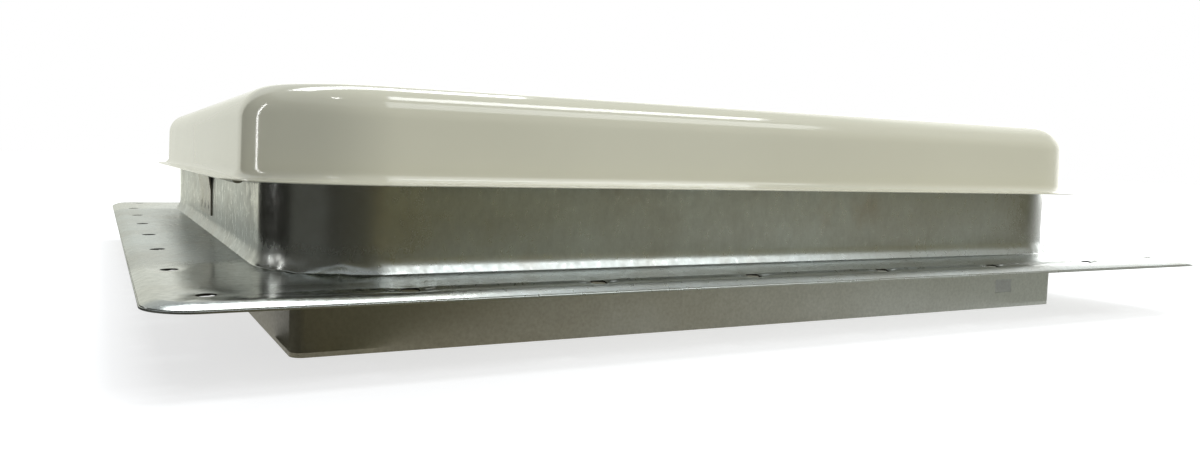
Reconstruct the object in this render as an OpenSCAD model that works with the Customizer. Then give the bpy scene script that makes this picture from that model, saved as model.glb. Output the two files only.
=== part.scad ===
// Caravan roof vent, 14 inch class: drawn steel base, hinged lid, crank lift and insect screen.
// Origin at the centre of the roof opening, on the roof surface under the flange plate.
// +Z is up, the hinge runs along Y on the -X side.

/* [Base] */
// Outer width of the raised curb
curb_w = 369; // [300:1:450]
// Height of the curb above the roof
curb_h = 50; // [40:0.5:65]
// Corner radius of the curb
curb_r = 36; // [28:1:48]
// Galvanised sheet of the base and the throat
base_sheet = 0.7; // [0.5:0.1:1.2]
// Radius of the bend at the foot of the curb
foot_r = 5.5; // [5:0.5:12]
// Radius of the bend along the top of the curb
curb_top_r = 2.2; // [1.6:0.1:3]
// Width of the ledge turned inward along the top of the curb
curb_ledge = 14; // [12:0.5:18]
// Width of the flange from the curb wall to its edge
flange_ledge = 37.75; // [34:0.25:48]
// Corner radius of the flange
flange_r = 14; // [8:0.5:20]
// Width of the bevelled rim of the flange
rim_run = 4.2; // [2:0.1:6]
// Depth of the rim under the flange plate
rim_drop = 2.7; // [1.5:0.1:4]

/* [Screw holes] */
// Diameter of the screw holes in the flange
hole_d = 5.5; // [4:0.1:7]
// Distance from the flange edge to the holes along the sides
hole_inset = 11; // [8:0.5:13]
// Distance from the flange edges to the corner holes
corner_inset = 16.25; // [12:0.25:20]
// Distance along a side from its corner hole to the next hole
corner_gap = 53.5; // [40:0.5:62]
// Holes along each side, without the corner ones
holes_per_side = 6; // [4:2:8]

/* [Throat] */
// Distance from the curb wall in to the throat wall
throat_gap = 5.5; // [4:0.5:8]
// Depth of the throat under the roof surface
throat_depth = 24.7; // [24:0.1:60]
// Corner radius of the throat
throat_r = 4; // [3:0.5:8]
// Radius of the bend between throat and its upper flange
throat_bend_r = 1.5; // [1:0.1:3]
// Width of the throat's upper flange
throat_flange = 21; // [18:0.5:24]
// Length of the window lanced for each screen tab
tab_w = 11; // [8:0.5:16]
// Height of the window lanced for each screen tab
tab_h = 6; // [4:0.5:7]
// Distance from the end of the front and rear legs to the middle of their tabs
tab_offset = 35; // [25:1:60]
// Distance from the end of the left and right legs to the middle of their tabs
side_tab_offset = 105; // [60:1:140]
// Depth of the tabs that carry the screen under the roof surface
tab_drop = 11; // [10:0.5:12]

/* [Lid] */
// Steel sheet of the lid
lid_sheet = 0.6; // [0.4:0.1:1]
// Free space between the curb wall and the lid skirt
skirt_gap = 5.9; // [5:0.1:9]
// Corner radius of the lid skirt
lid_r = 41; // [34:1:52]
// Height from the lip to the top of the lid
skirt_h = 30.3; // [27:0.1:38]
// Draft of the skirt
skirt_draft = 1.5; // [0.5:0.1:3]
// Radius of the shoulder
shoulder_r = 11; // [8:0.5:14]
// Radius of the bend between skirt and lip
lip_bend_r = 3.5; // [2.5:0.1:5]
// Width that the lip stands out from the skirt
lip_out = 6; // [5:0.1:9]
// Width of the crossed stiffening ribs
rib_w = 40; // [30:1:50]
// Height of the stiffening ribs
rib_h = 3.6; // [2:0.1:5]
// Distance from the skirt to the centre of each rib end
rib_inset = 44; // [40:1:60]

/* [Seal] */
// Width of the seal under the lid
seal_w = 8; // [6:0.5:10]
// Height of the seal
seal_h = 7.8; // [6:0.1:10]
// Free space between the seal and the curb
seal_clear = 0.3; // [0.2:0.05:0.6]

/* [Hinge] */
// Diameter of the hinge rod
rod_d = 3; // [2.5:0.1:3.4]
// Thickness of the hinge leaves and of the hinge bracket
leaf_t = 0.7; // [0.5:0.05:0.8]
// Free space between the rod and the curls round it
curl_clear = 0.1; // [0.05:0.01:0.15]
// Free space between the curls and the skirt
curl_gap = 0.15; // [0.1:0.05:0.4]
// Length of each hinge leaf along the rod
leaf_w = 39; // [25:1:60]
// Distance between the middles of the two hinge leaves
leaf_spacing = 221; // [160:1:240]
// Width of the hinge bracket on the curb
bracket_w = 46; // [30:1:70]
// Height of the hinge leaves above the rod
leaf_h = 17; // [12:0.5:18]

/* [Lift] */
// Distance from the arm pivot to the slot pin, and to the hinge rod
arm_len = 150; // [135:1:165]
// Height of the arm pivot above the roof surface
pivot_z = 7.7; // [7.2:0.1:10]
// Depth of the slot pin under the lid sheet with the lid closed
pin_drop = 8; // [7.5:0.1:12]
// Thickness of the arm
arm_t = 4; // [3:0.5:5]
// Width of the slot stamped out of the arm to lighten it
arm_slot_w = 4; // [2:0.5:5]
// Diameter of the arm shaft
shaft_d = 8; // [6:0.5:8.5]
// Diameter of the slot pin
pin_d = 6; // [4:0.5:6]
// Free space between the bushes and the slot
slot_clear = 0.2; // [0.1:0.05:0.4]
// Travel of the lid
lid_open = 50; // [40:1:55]
// Sheet of the lift rail
rail_sheet = 1.5; // [1:0.1:2]
// Inside width of the lift rail
rail_w = 12; // [11:0.5:16]
// Diameter of the crank shaft
crank_d = 8; // [6:0.5:9]
// Distance from the arm pivot to the crank shaft
crank_offset = 21; // [20:0.5:26]
// Diameter of the crank knob
knob_d = 52; // [40:1:60]
// Sheet of the operator bar
bar_sheet = 1.5; // [1:0.1:2]

/* [Screen] */
// Width of the screen frame's section
screen_section = 10; // [8:0.5:14]
// Height of the screen frame's section
screen_h = 5; // [4:0.5:6]
// Free space between the screen frame and the throat
screen_clear = 1; // [0.5:0.1:2]
// Thickness of the mesh sheet
mesh_t = 0.6; // [0.4:0.1:1]

/* [Hidden] */
$fn = 64;
eps = 0.01;

// Base, half widths from the centre
curb_half = curb_w / 2;
flange_half = curb_half + flange_ledge;
hole_line = flange_half - hole_inset;
corner_line = flange_half - corner_inset;
row_half = corner_line - corner_gap;
hole_pitch = 2 * row_half / (holes_per_side - 1);

// Throat
throat_half = curb_half - throat_gap;
throat_in = throat_half - base_sheet;

// Lid: the top sits on the seal, the lip hangs from the top
lid_top = curb_h + seal_clear + seal_h + lid_sheet;
lid_under = lid_top - lid_sheet;
lip_z = lid_top - skirt_h;
lid_half = curb_half + skirt_gap + lid_sheet;
lid_straight = lid_half - lid_r;
wall_foot_z = lip_z + lid_sheet + lip_bend_r;
shoulder_z = lid_top - shoulder_r;
skirt_lean = round(1000 * (shoulder_z - wall_foot_z) * tan(skirt_draft)) / 1000;
flat_r = lid_r - skirt_lean - shoulder_r;
top_half = lid_straight + flat_r;
rib_radius = (rib_w * rib_w / 4 + rib_h * rib_h) / (2 * rib_h);
rib_end = lid_half - rib_inset;

// Hinge: the curls run just inside the skirt
curl_in = rod_d / 2 + curl_clear;
curl_out = curl_in + leaf_t;
skirt_in = lid_half - lid_sheet;
hinge_x = -(skirt_in - curl_gap - curl_out);
hinge_z = lip_z + 0.2;
rod_len = leaf_spacing + leaf_w + 8;

// Lift: hinge, arm pivot and slot pin form an isosceles triangle, so the arm turns twice the lid
pivot_dir = asin((pivot_z - hinge_z) / arm_len);
pivot_x = hinge_x + arm_len * cos(pivot_dir);
pin_z = lid_under - pin_drop;
arm_dir = asin((pin_z - pivot_z) / arm_len);
slot_dir = (arm_dir + pivot_dir) / 2;
pin_x = pivot_x + arm_len * cos(arm_dir);
slot_far = 2 * arm_len * cos(slot_dir - pivot_dir);
slot_near = 2 * arm_len * cos(slot_dir - pivot_dir + lid_open);
hub_r = shaft_d / 2 + 3;
hub_t = arm_t + 2;
eye_r = pin_d / 2 + 2.5;
bush_t = 1;
bush_r = pin_d / 2 + bush_t;
slot_r = bush_r + slot_clear;
rail_half = rail_w / 2;
rail_skin = slot_r + 4.5;
rail_x0 = hinge_x + slot_near * cos(slot_dir) - slot_r - 8;
rail_x1 = hinge_x + slot_far * cos(slot_dir) + slot_r + 6;

// Operator
crank_x = pivot_x - crank_offset;
crank_y = 8.8;
cheek_t = 11;
arm_space = hub_t / 2 + 0.3;
cheek_r = shaft_d / 2 + 7;
worm_case_r = crank_d / 2 + 3.5;
housing_top = pivot_z + 9;
bar_x0 = crank_x - 11;
bar_x1 = pivot_x + 18;
bar_half = curb_half - base_sheet - 0.8;
bar_edge_h = 4;
turn_clear = 0.1;
collar_h = 2;
screw_foot_r = 4;
screw_foot_h = 3;
screw_y = arm_space + cheek_t + 2.5;
screw_x0 = pivot_x - 6;
screw_x1 = pivot_x + 8;

// Screen, resting on the tabs
screen_half = throat_in - screen_clear;
screen_z = -tab_drop;
ledge_w = 4;
ledge_h = 1;
groove_half = screen_half - (screen_section - ledge_w);
knob_z = -throat_depth + 1.2;
knob_rim_h = 7.5;
knob_edge_r = 1.6;
knob_hub_r = crank_d / 2 + 5;
knob_cap_r = knob_hub_r + 3;
knob_dish = 1.2;
knob_top = screen_z - 1.2;

// Section of a bent sheet round a centre, between two angles less than 180 degrees apart
module bend(centre, inner_r, sheet, from, to) {
    reach = 3 * (inner_r + sheet);
    translate(centre) intersection() {
        difference() {
            circle(r = inner_r + sheet);
            circle(r = inner_r);
        }
        polygon([[0, 0], for (a = [from, (from + to) / 2, to]) reach * [cos(a), sin(a)]]);
    }
}

// Sweeps a section round a square with round corners. In the section x is the distance
// from the centre of the corner arcs and y is the height.
module square_ring(half_w, corner_r) {
    straight = half_w - corner_r;
    for (side = [0:3]) rotate([0, 0, 90 * side]) translate([straight, straight, 0]) {
        rotate_extrude(angle = 90) children();
        rotate([90, 0, 0]) linear_extrude(2 * straight) children();
    }
}

// Flat plate with round corners, on the plane Z = 0
module rounded_plate(half_w, corner_r, thickness) {
    straight = half_w - corner_r;
    square_ring(half_w, corner_r) square([corner_r, thickness]);
    translate([-straight, -straight, 0]) cube([2 * straight, 2 * straight, thickness]);
}

// Solid with half round ends, lying along X from 0 to len, thickness up from Z = 0
module slot_solid(len, radius, thickness) {
    translate([0, -radius, 0]) cube([len, 2 * radius, thickness]);
    for (end = [0, 1]) translate([end * len, 0, 0]) rotate([0, 0, end == 0 ? 90 : -90])
        rotate_extrude(angle = 180) square([radius, thickness]);
}

// Turns a solid drawn in the XY plane upright into the XZ plane, its thickness centred on Y = 0
module upright(thickness) {
    translate([0, thickness / 2, 0]) rotate([90, 0, 0]) children();
}

module curb_section() {
    wall_z = base_sheet + foot_r;
    bend([curb_r + foot_r, wall_z], foot_r, base_sheet, 180, 270);
    translate([curb_r - base_sheet, wall_z]) square([base_sheet, curb_h - curb_top_r - wall_z]);
    bend([curb_r - curb_top_r, curb_h - curb_top_r], curb_top_r - base_sheet, base_sheet, 0, 90);
    translate([curb_r - curb_ledge, curb_h - base_sheet]) square([curb_ledge - curb_top_r, base_sheet]);
}

module rim_section() {
    polygon([
        [flange_r - rim_run, 0], [flange_r, -rim_drop],
        [flange_r, base_sheet - rim_drop], [flange_r - rim_run, base_sheet]
    ]);
}

module screw_hole(x, y) {
    translate([x, y, -eps]) cylinder(d = hole_d, h = base_sheet + 2 * eps);
}

// The screw holes of one side and its left corner
module hole_row() {
    screw_hole(-corner_line, -corner_line);
    for (i = [0 : holes_per_side - 1]) screw_hole(-row_half + i * hole_pitch, -hole_line);
}

module base_frame() {
    color([0.62, 0.66, 0.64]) difference() {
        union() {
            square_ring(curb_half, curb_r) curb_section();
            square_ring(flange_half, flange_r) rim_section();
            difference() {
                rounded_plate(flange_half - rim_run, flange_r - rim_run, base_sheet);
                translate([0, 0, -1]) rounded_plate(curb_half + foot_r, curb_r + foot_r, base_sheet + 2);
            }
        }
        for (side = [0:3]) rotate([0, 0, 90 * side]) hole_row();
    }
}

module throat_section() {
    bend_z = -base_sheet - throat_bend_r;
    translate([throat_r - base_sheet, -throat_depth]) square([base_sheet, throat_depth + bend_z]);
    bend([throat_r + throat_bend_r, bend_z], throat_bend_r, base_sheet, 90, 180);
    translate([throat_r + throat_bend_r, -base_sheet]) square([throat_flange - throat_bend_r, base_sheet]);
}

// Distance of a leg's tab from the end of the leg, with the front leg as number 0
function tab_reach(side) = side % 2 == 0 ? tab_offset : side_tab_offset;

// The tab lanced out of the leg folds inward at the top of its window
module throat_tab(reach) {
    translate([throat_half - reach - tab_w / 2, -throat_in - eps, screen_z - base_sheet])
        cube([tab_w, tab_h + eps, base_sheet]);
}

module throat_window(reach) {
    translate([throat_half - reach - tab_w / 2, -throat_half - 1, screen_z - base_sheet - tab_h])
        cube([tab_w, base_sheet + 2, tab_h]);
}

module throat_frame() {
    color([0.5, 0.5, 0.45]) difference() {
        union() {
            square_ring(throat_half, throat_r) throat_section();
            for (side = [0:3]) rotate([0, 0, 90 * side]) throat_tab(tab_reach(side));
        }
        for (side = [0:3]) rotate([0, 0, 90 * side]) throat_window(tab_reach(side));
    }
}

// Strap welded to the curb, leaning out to a curl round the rod
module hinge_bracket() {
    wall_x = -curb_half;
    foot_z = base_sheet + foot_r + 1.5;
    lean_z = hinge_z - 9;
    neck_x = hinge_x + curl_in;
    color([0.45, 0.46, 0.42]) difference() {
        union() {
            upright(bracket_w) linear_extrude(bracket_w) polygon([
                [wall_x, foot_z], [wall_x, lean_z], [neck_x + leaf_t, hinge_z], [neck_x, hinge_z],
                [neck_x, hinge_z - 1.5], [wall_x - leaf_t, lean_z - 0.5], [wall_x - leaf_t, foot_z]
            ]);
            translate([hinge_x, 0, hinge_z]) upright(bracket_w) cylinder(r = curl_out, h = bracket_w);
        }
        translate([hinge_x, 0, hinge_z]) upright(bracket_w + 2) cylinder(r = curl_in, h = bracket_w + 2);
    }
}

module hinge_rod() {
    color([0.7, 0.7, 0.68]) translate([hinge_x, 0, hinge_z]) upright(rod_len) cylinder(d = rod_d, h = rod_len);
}

// Distance of the skirt's inner face from the middle of the vent at a height
function skirt_face(z) = skirt_in - skirt_lean * (z - wall_foot_z) / (shoulder_z - wall_foot_z);

module hinge_leaf(y_mid) {
    low = wall_foot_z;
    high = hinge_z + leaf_h;
    color([0.6, 0.6, 0.57]) translate([0, y_mid, 0]) difference() {
        union() {
            upright(leaf_w) linear_extrude(leaf_w) polygon([
                [-skirt_face(low), hinge_z], [-skirt_face(low), low], [-skirt_face(high), high],
                [-skirt_face(high) + leaf_t, high], [-skirt_face(low) + leaf_t, low],
                [-skirt_face(low) + leaf_t, hinge_z]
            ]);
            translate([hinge_x, 0, hinge_z]) upright(leaf_w) cylinder(r = curl_out, h = leaf_w);
        }
        translate([hinge_x, 0, hinge_z]) upright(leaf_w + 2) cylinder(r = curl_in, h = leaf_w + 2);
    }
}

module hinge_leaf_front() {
    hinge_leaf(-leaf_spacing / 2);
}

module hinge_leaf_rear() {
    hinge_leaf(leaf_spacing / 2);
}

module lid_section() {
    translate([lid_r + lip_bend_r, lip_z]) square([lip_out - lip_bend_r, lid_sheet]);
    bend([lid_r + lip_bend_r, wall_foot_z], lip_bend_r, lid_sheet, 180, 270);
    polygon([
        [lid_r - lid_sheet, wall_foot_z], [lid_r, wall_foot_z],
        [lid_r - skirt_lean, shoulder_z], [lid_r - skirt_lean - lid_sheet, shoulder_z]
    ]);
    bend([flat_r, shoulder_z], shoulder_r - lid_sheet, lid_sheet, 0, 90);
}

// Round topped rib along one diagonal, its lower part hidden below the lid sheet
module rib(radius, floor_z) {
    half_len = rib_end * sqrt(2);
    axis_z = lid_top + rib_h - rib_radius;
    intersection() {
        translate([0, 0, axis_z]) rotate([90, 0, 0]) rotate_extrude() {
            translate([0, -half_len]) square([radius, 2 * half_len]);
            for (end = [-1, 1]) translate([0, end * half_len]) intersection() {
                circle(r = radius);
                translate([0, end > 0 ? 0 : -radius]) square([radius, radius]);
            }
        }
        translate([-rib_w, -half_len - rib_w, floor_z]) cube([2 * rib_w, 2 * half_len + 2 * rib_w, rib_h + 2]);
    }
}

module lid_shell() {
    color([0.86, 0.86, 0.82]) difference() {
        union() {
            square_ring(lid_half, lid_r) lid_section();
            translate([0, 0, lid_under]) rounded_plate(top_half, flat_r, lid_sheet);
            for (turn = [-45, 45]) rotate([0, 0, turn]) rib(rib_radius, lid_under);
        }
        for (turn = [-45, 45]) rotate([0, 0, turn]) rib(rib_radius - lid_sheet, lid_under - 0.5);
    }
}

module lid_seal() {
    outer_r = flat_r - 0.3;
    bevel = 2;
    color([0.12, 0.12, 0.12]) translate([0, 0, lid_under - seal_h])
        square_ring(lid_straight + outer_r, outer_r) translate([outer_r - seal_w, 0]) polygon([
            [bevel, 0], [seal_w - bevel, 0], [seal_w, bevel],
            [seal_w, seal_h], [0, seal_h], [0, bevel]
        ]);
}

// Height of the slot's middle line at a place along X
function slot_line(x) = hinge_z + (x - hinge_x) * tan(slot_dir);

module slot_cut() {
    translate([hinge_x, 0, hinge_z]) rotate([0, -slot_dir, 0]) translate([slot_near, 0, 0])
        upright(rail_w + 6) slot_solid(slot_far - slot_near, slot_r, rail_w + 6);
}

// Channel hung under the lid, its webs deepening towards the hinge
module lift_rail() {
    flange_w = 8;
    color([0.68, 0.69, 0.66]) difference() {
        union() {
            for (side = [-1, 1]) translate([0, side * (rail_half + rail_sheet / 2), 0]) upright(rail_sheet)
                linear_extrude(rail_sheet) polygon([
                    [rail_x0, lid_under - rail_sheet], [rail_x1, lid_under - rail_sheet],
                    [rail_x1, slot_line(rail_x1) - rail_skin + 3], [rail_x1 - 5, slot_line(rail_x1) - rail_skin],
                    [rail_x0 + 8, slot_line(rail_x0) - rail_skin], [rail_x0, slot_line(rail_x0) - rail_skin + 5]
                ]);
            translate([rail_x0, -rail_half - rail_sheet - flange_w, lid_under - rail_sheet])
                cube([rail_x1 - rail_x0, 2 * (rail_half + rail_sheet + flange_w), rail_sheet]);
        }
        slot_cut();
    }
}

module lift_arm() {
    color([0.72, 0.72, 0.7]) translate([pivot_x, 0, pivot_z]) rotate([0, -arm_dir, 0]) difference() {
        union() {
            upright(arm_t) linear_extrude(arm_t)
                polygon([[0, -hub_r + 1], [arm_len, -eye_r + 1.2], [arm_len, eye_r - 1.2], [0, hub_r - 1]]);
            upright(hub_t) cylinder(r = hub_r, h = hub_t);
            translate([arm_len, 0, 0]) upright(arm_t) cylinder(r = eye_r, h = arm_t);
        }
        upright(hub_t + 2) cylinder(d = shaft_d, h = hub_t + 2);
        translate([arm_len, 0, 0]) upright(arm_t + 2) cylinder(d = pin_d, h = arm_t + 2);
        translate([arm_len / 4, 0, 0]) upright(arm_t + 2) slot_solid(arm_len / 2, arm_slot_w / 2, arm_t + 2);
    }
}

module arm_shaft() {
    shaft_len = 2 * (arm_space + cheek_t) + 3;
    color([0.6, 0.6, 0.58]) translate([pivot_x, 0, pivot_z]) upright(shaft_len)
        cylinder(d = shaft_d, h = shaft_len);
}

module slot_pin() {
    head_t = 1;
    inner = 2 * (rail_half + rail_sheet + 0.7);
    color([0.6, 0.6, 0.58]) translate([pin_x, 0, pin_z]) {
        upright(inner + 2 * head_t) cylinder(d = pin_d, h = inner + 2 * head_t);
        for (side = [-1, 1]) translate([0, side * (inner / 2 + head_t / 2), 0])
            upright(head_t) cylinder(r = slot_r + 1.5, h = head_t);
    }
}

// Flanged bush that runs in the slot of one web
module slot_bush(side) {
    flange_t = 0.8;
    inner_face = rail_half - 0.3 - flange_t;
    outer_face = rail_half + rail_sheet + 0.4;
    color([0.9, 0.9, 0.86]) translate([pin_x, 0, pin_z]) rotate([0, 0, side < 0 ? 0 : 180]) difference() {
        union() {
            translate([0, -inner_face, 0]) rotate([90, 0, 0]) cylinder(r = bush_r, h = outer_face - inner_face);
            translate([0, -inner_face, 0]) rotate([90, 0, 0]) cylinder(r = slot_r + 1.3, h = flange_t);
        }
        upright(2 * outer_face + 2) cylinder(d = pin_d, h = 2 * outer_face + 2);
    }
}

module slot_bush_front() {
    slot_bush(-1);
}

module slot_bush_rear() {
    slot_bush(1);
}

// Flat bar with turned up edges, resting on the throat's upper flange
module operator_bar() {
    color([0.66, 0.67, 0.64]) difference() {
        union() {
            translate([bar_x0, -bar_half, 0]) cube([bar_x1 - bar_x0, 2 * bar_half, bar_sheet]);
            for (x = [bar_x0, bar_x1 - bar_sheet]) translate([x, -bar_half, 0])
                cube([bar_sheet, 2 * bar_half, bar_edge_h]);
        }
        translate([pivot_x - hub_r - 3, -arm_space, -1]) cube([2 * hub_r + 6, 2 * arm_space, bar_sheet + 2]);
        translate([crank_x, crank_y, -1]) cylinder(d = crank_d + 1, h = bar_sheet + 2);
    }
}

// Gear case with two cheeks that hold the arm shaft
module operator_housing() {
    foot_half = cheek_r + 1.5;
    color([0.3, 0.31, 0.32]) difference() {
        union() {
            for (side = [-1, 1]) {
                near_y = side > 0 ? arm_space : -arm_space - cheek_t;
                translate([pivot_x, near_y + cheek_t, pivot_z]) rotate([90, 0, 0])
                    cylinder(r = cheek_r, h = cheek_t);
                translate([pivot_x - foot_half, near_y, bar_sheet])
                    cube([2 * foot_half, cheek_t, pivot_z - 1 - bar_sheet]);
            }
            translate([crank_x, -arm_space - cheek_t, bar_sheet])
                cube([pivot_x - hub_r - 1.5 - crank_x, 2 * (arm_space + cheek_t), 4]);
            translate([crank_x, crank_y, bar_sheet]) cylinder(r = worm_case_r, h = housing_top - bar_sheet);
            translate([crank_x, crank_y, housing_top - collar_h - 1]) cylinder(r = worm_case_r + 1, h = collar_h);
            for (x = [screw_x0, screw_x1], side = [-1, 1]) translate([x, side * screw_y, bar_sheet])
                cylinder(r = screw_foot_r, h = screw_foot_h);
            translate([crank_x, arm_space + 1, bar_sheet]) cube([crank_offset - 4, cheek_t - 2, pivot_z + 4]);
        }
        translate([bar_x0, -50, bar_sheet - 20]) cube([100, 100, 20]);
        translate([pivot_x, 0, pivot_z]) upright(80) cylinder(d = shaft_d + 2 * turn_clear, h = 80);
        translate([crank_x, crank_y, bar_sheet - 1])
            cylinder(d = crank_d + 2 * turn_clear, h = housing_top - bar_sheet - 2);
    }
}

module crank_shaft() {
    shaft_low = knob_z + 2;
    color([0.7, 0.7, 0.68]) translate([crank_x, crank_y, shaft_low])
        cylinder(d = crank_d, h = housing_top - 4 - shaft_low);
}

// Section of the knob: a rim with round edges, a dished face below and a hub above
module knob_section() {
    rim_r = knob_d / 2;
    for (z = [knob_edge_r, knob_rim_h - knob_edge_r]) translate([rim_r - knob_edge_r, z]) circle(r = knob_edge_r);
    translate([rim_r - 2 * knob_edge_r, knob_edge_r]) square([2 * knob_edge_r, knob_rim_h - 2 * knob_edge_r]);
    translate([rim_r - 3 * knob_edge_r, 0]) square([2 * knob_edge_r, knob_rim_h]);
    translate([0, knob_dish]) square([rim_r - 2 * knob_edge_r, knob_rim_h - knob_dish]);
    translate([0, knob_dish / 2]) square([knob_cap_r, knob_rim_h - knob_dish / 2]);
    square([knob_hub_r, knob_top - knob_z]);
}

// Low knob with finger hollows round its edge
module crank_knob() {
    fingers = 8;
    hollow_r = 7;
    color([0.88, 0.87, 0.83]) translate([crank_x, crank_y, knob_z]) difference() {
        rotate_extrude() knob_section();
        for (i = [0 : fingers - 1]) rotate([0, 0, i * 360 / fingers])
            translate([knob_d / 2 + 3, 0, -1]) cylinder(r = hollow_r, h = knob_rim_h + 2);
        translate([0, 0, 2]) cylinder(d = crank_d, h = knob_top - knob_z);
    }
}

// Frame with a ledge for the mesh, held in by the spline
module screen_frame() {
    section_in = screen_half - screen_section;
    color([0.75, 0.76, 0.76]) translate([0, 0, screen_z]) difference() {
        translate([-screen_half, -screen_half, 0]) cube([2 * screen_half, 2 * screen_half, screen_h]);
        translate([-section_in, -section_in, -1]) cube([2 * section_in, 2 * section_in, screen_h + 2]);
        translate([-groove_half, -groove_half, ledge_h]) cube([2 * groove_half, 2 * groove_half, screen_h]);
    }
}

module screen_mesh() {
    color([0.35, 0.35, 0.35, 0.5]) translate([0, 0, screen_z + ledge_h]) difference() {
        translate([-groove_half + 0.3, -groove_half + 0.3, 0])
            cube([2 * groove_half - 0.6, 2 * groove_half - 0.6, mesh_t]);
        translate([crank_x, crank_y, -1]) cylinder(d = crank_d + 4, h = mesh_t + 2);
    }
}

module screen_spline() {
    spline_half = groove_half - 0.3;
    spline_w = ledge_w - 0.8;
    color([0.1, 0.1, 0.1]) translate([0, 0, screen_z + ledge_h + mesh_t]) difference() {
        translate([-spline_half, -spline_half, 0]) cube([2 * spline_half, 2 * spline_half, 2.4]);
        translate([-spline_half + spline_w, -spline_half + spline_w, -1])
            cube([2 * (spline_half - spline_w), 2 * (spline_half - spline_w), 5]);
    }
}

base_frame();
throat_frame();
hinge_bracket();
hinge_rod();
screen_frame();
screen_mesh();
screen_spline();
operator_bar();
operator_housing();
lid_shell();
lid_seal();
hinge_leaf_front();
hinge_leaf_rear();
lift_rail();
lift_arm();
arm_shaft();
slot_pin();
slot_bush_front();
slot_bush_rear();
crank_shaft();
crank_knob();
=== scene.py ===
"""Looks of a caravan roof vent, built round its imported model.

Each sub-assembly is a class that builds and dresses its own pieces. Everything is in metres,
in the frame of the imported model: origin at the middle of the flange, on the roof surface, with
the hinge on the -X side and the photographed front facing -Y.
"""

import logging
import math
from dataclasses import dataclass, field
from enum import Enum
from typing import Iterable, NamedTuple, Optional, Sequence

import bmesh
import bpy
import numpy as np
from mathutils import Matrix, Vector
from mathutils.geometry import delaunay_2d_cdt

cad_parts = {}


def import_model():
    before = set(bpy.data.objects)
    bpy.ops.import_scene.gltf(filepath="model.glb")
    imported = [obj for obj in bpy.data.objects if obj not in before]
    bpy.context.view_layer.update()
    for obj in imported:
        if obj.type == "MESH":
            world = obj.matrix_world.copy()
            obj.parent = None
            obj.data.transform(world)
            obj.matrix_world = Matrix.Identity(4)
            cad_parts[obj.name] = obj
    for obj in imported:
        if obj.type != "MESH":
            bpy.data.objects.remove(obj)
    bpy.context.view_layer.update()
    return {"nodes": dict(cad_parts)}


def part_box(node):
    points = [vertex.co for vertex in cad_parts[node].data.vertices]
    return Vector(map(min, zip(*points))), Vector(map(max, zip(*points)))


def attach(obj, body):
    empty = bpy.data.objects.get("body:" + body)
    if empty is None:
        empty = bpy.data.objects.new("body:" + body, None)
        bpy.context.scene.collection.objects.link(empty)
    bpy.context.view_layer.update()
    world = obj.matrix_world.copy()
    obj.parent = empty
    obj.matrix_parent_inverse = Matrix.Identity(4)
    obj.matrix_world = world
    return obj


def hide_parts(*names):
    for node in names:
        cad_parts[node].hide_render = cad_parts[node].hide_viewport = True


LOG = logging.getLogger("roof_vent")
MM = 0.001
SHARP = 35.0
Points = np.ndarray
Color = tuple[float, float, float]
Plan = tuple[tuple[float, Color], ...]
Socket = bpy.types.NodeSocket
Object = bpy.types.Object
Material = bpy.types.Material


class Body(Enum):
    """The bodies of the vent that new pieces ride on."""

    BASE = "base"
    LID = "lid"
    CRANK = "crank"


class Slot(Enum):
    """The record's material slots that new pieces take their finish from."""

    GALVANISED = "galvanised_sheet"
    PAINT = "white_paint"
    FOAM = "foam_seal"
    RUBBER = "black_rubber"
    PLATED = "plated_steel"
    WIRE = "screen_wire"
    KNOB = "knob_plastic"


class Noise(NamedTuple):
    """Soft noise: its waves to the metre, how many finer layers it has and how strong they are."""

    scale: float
    detail: float = 2.0
    rough: float = 0.5


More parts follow.
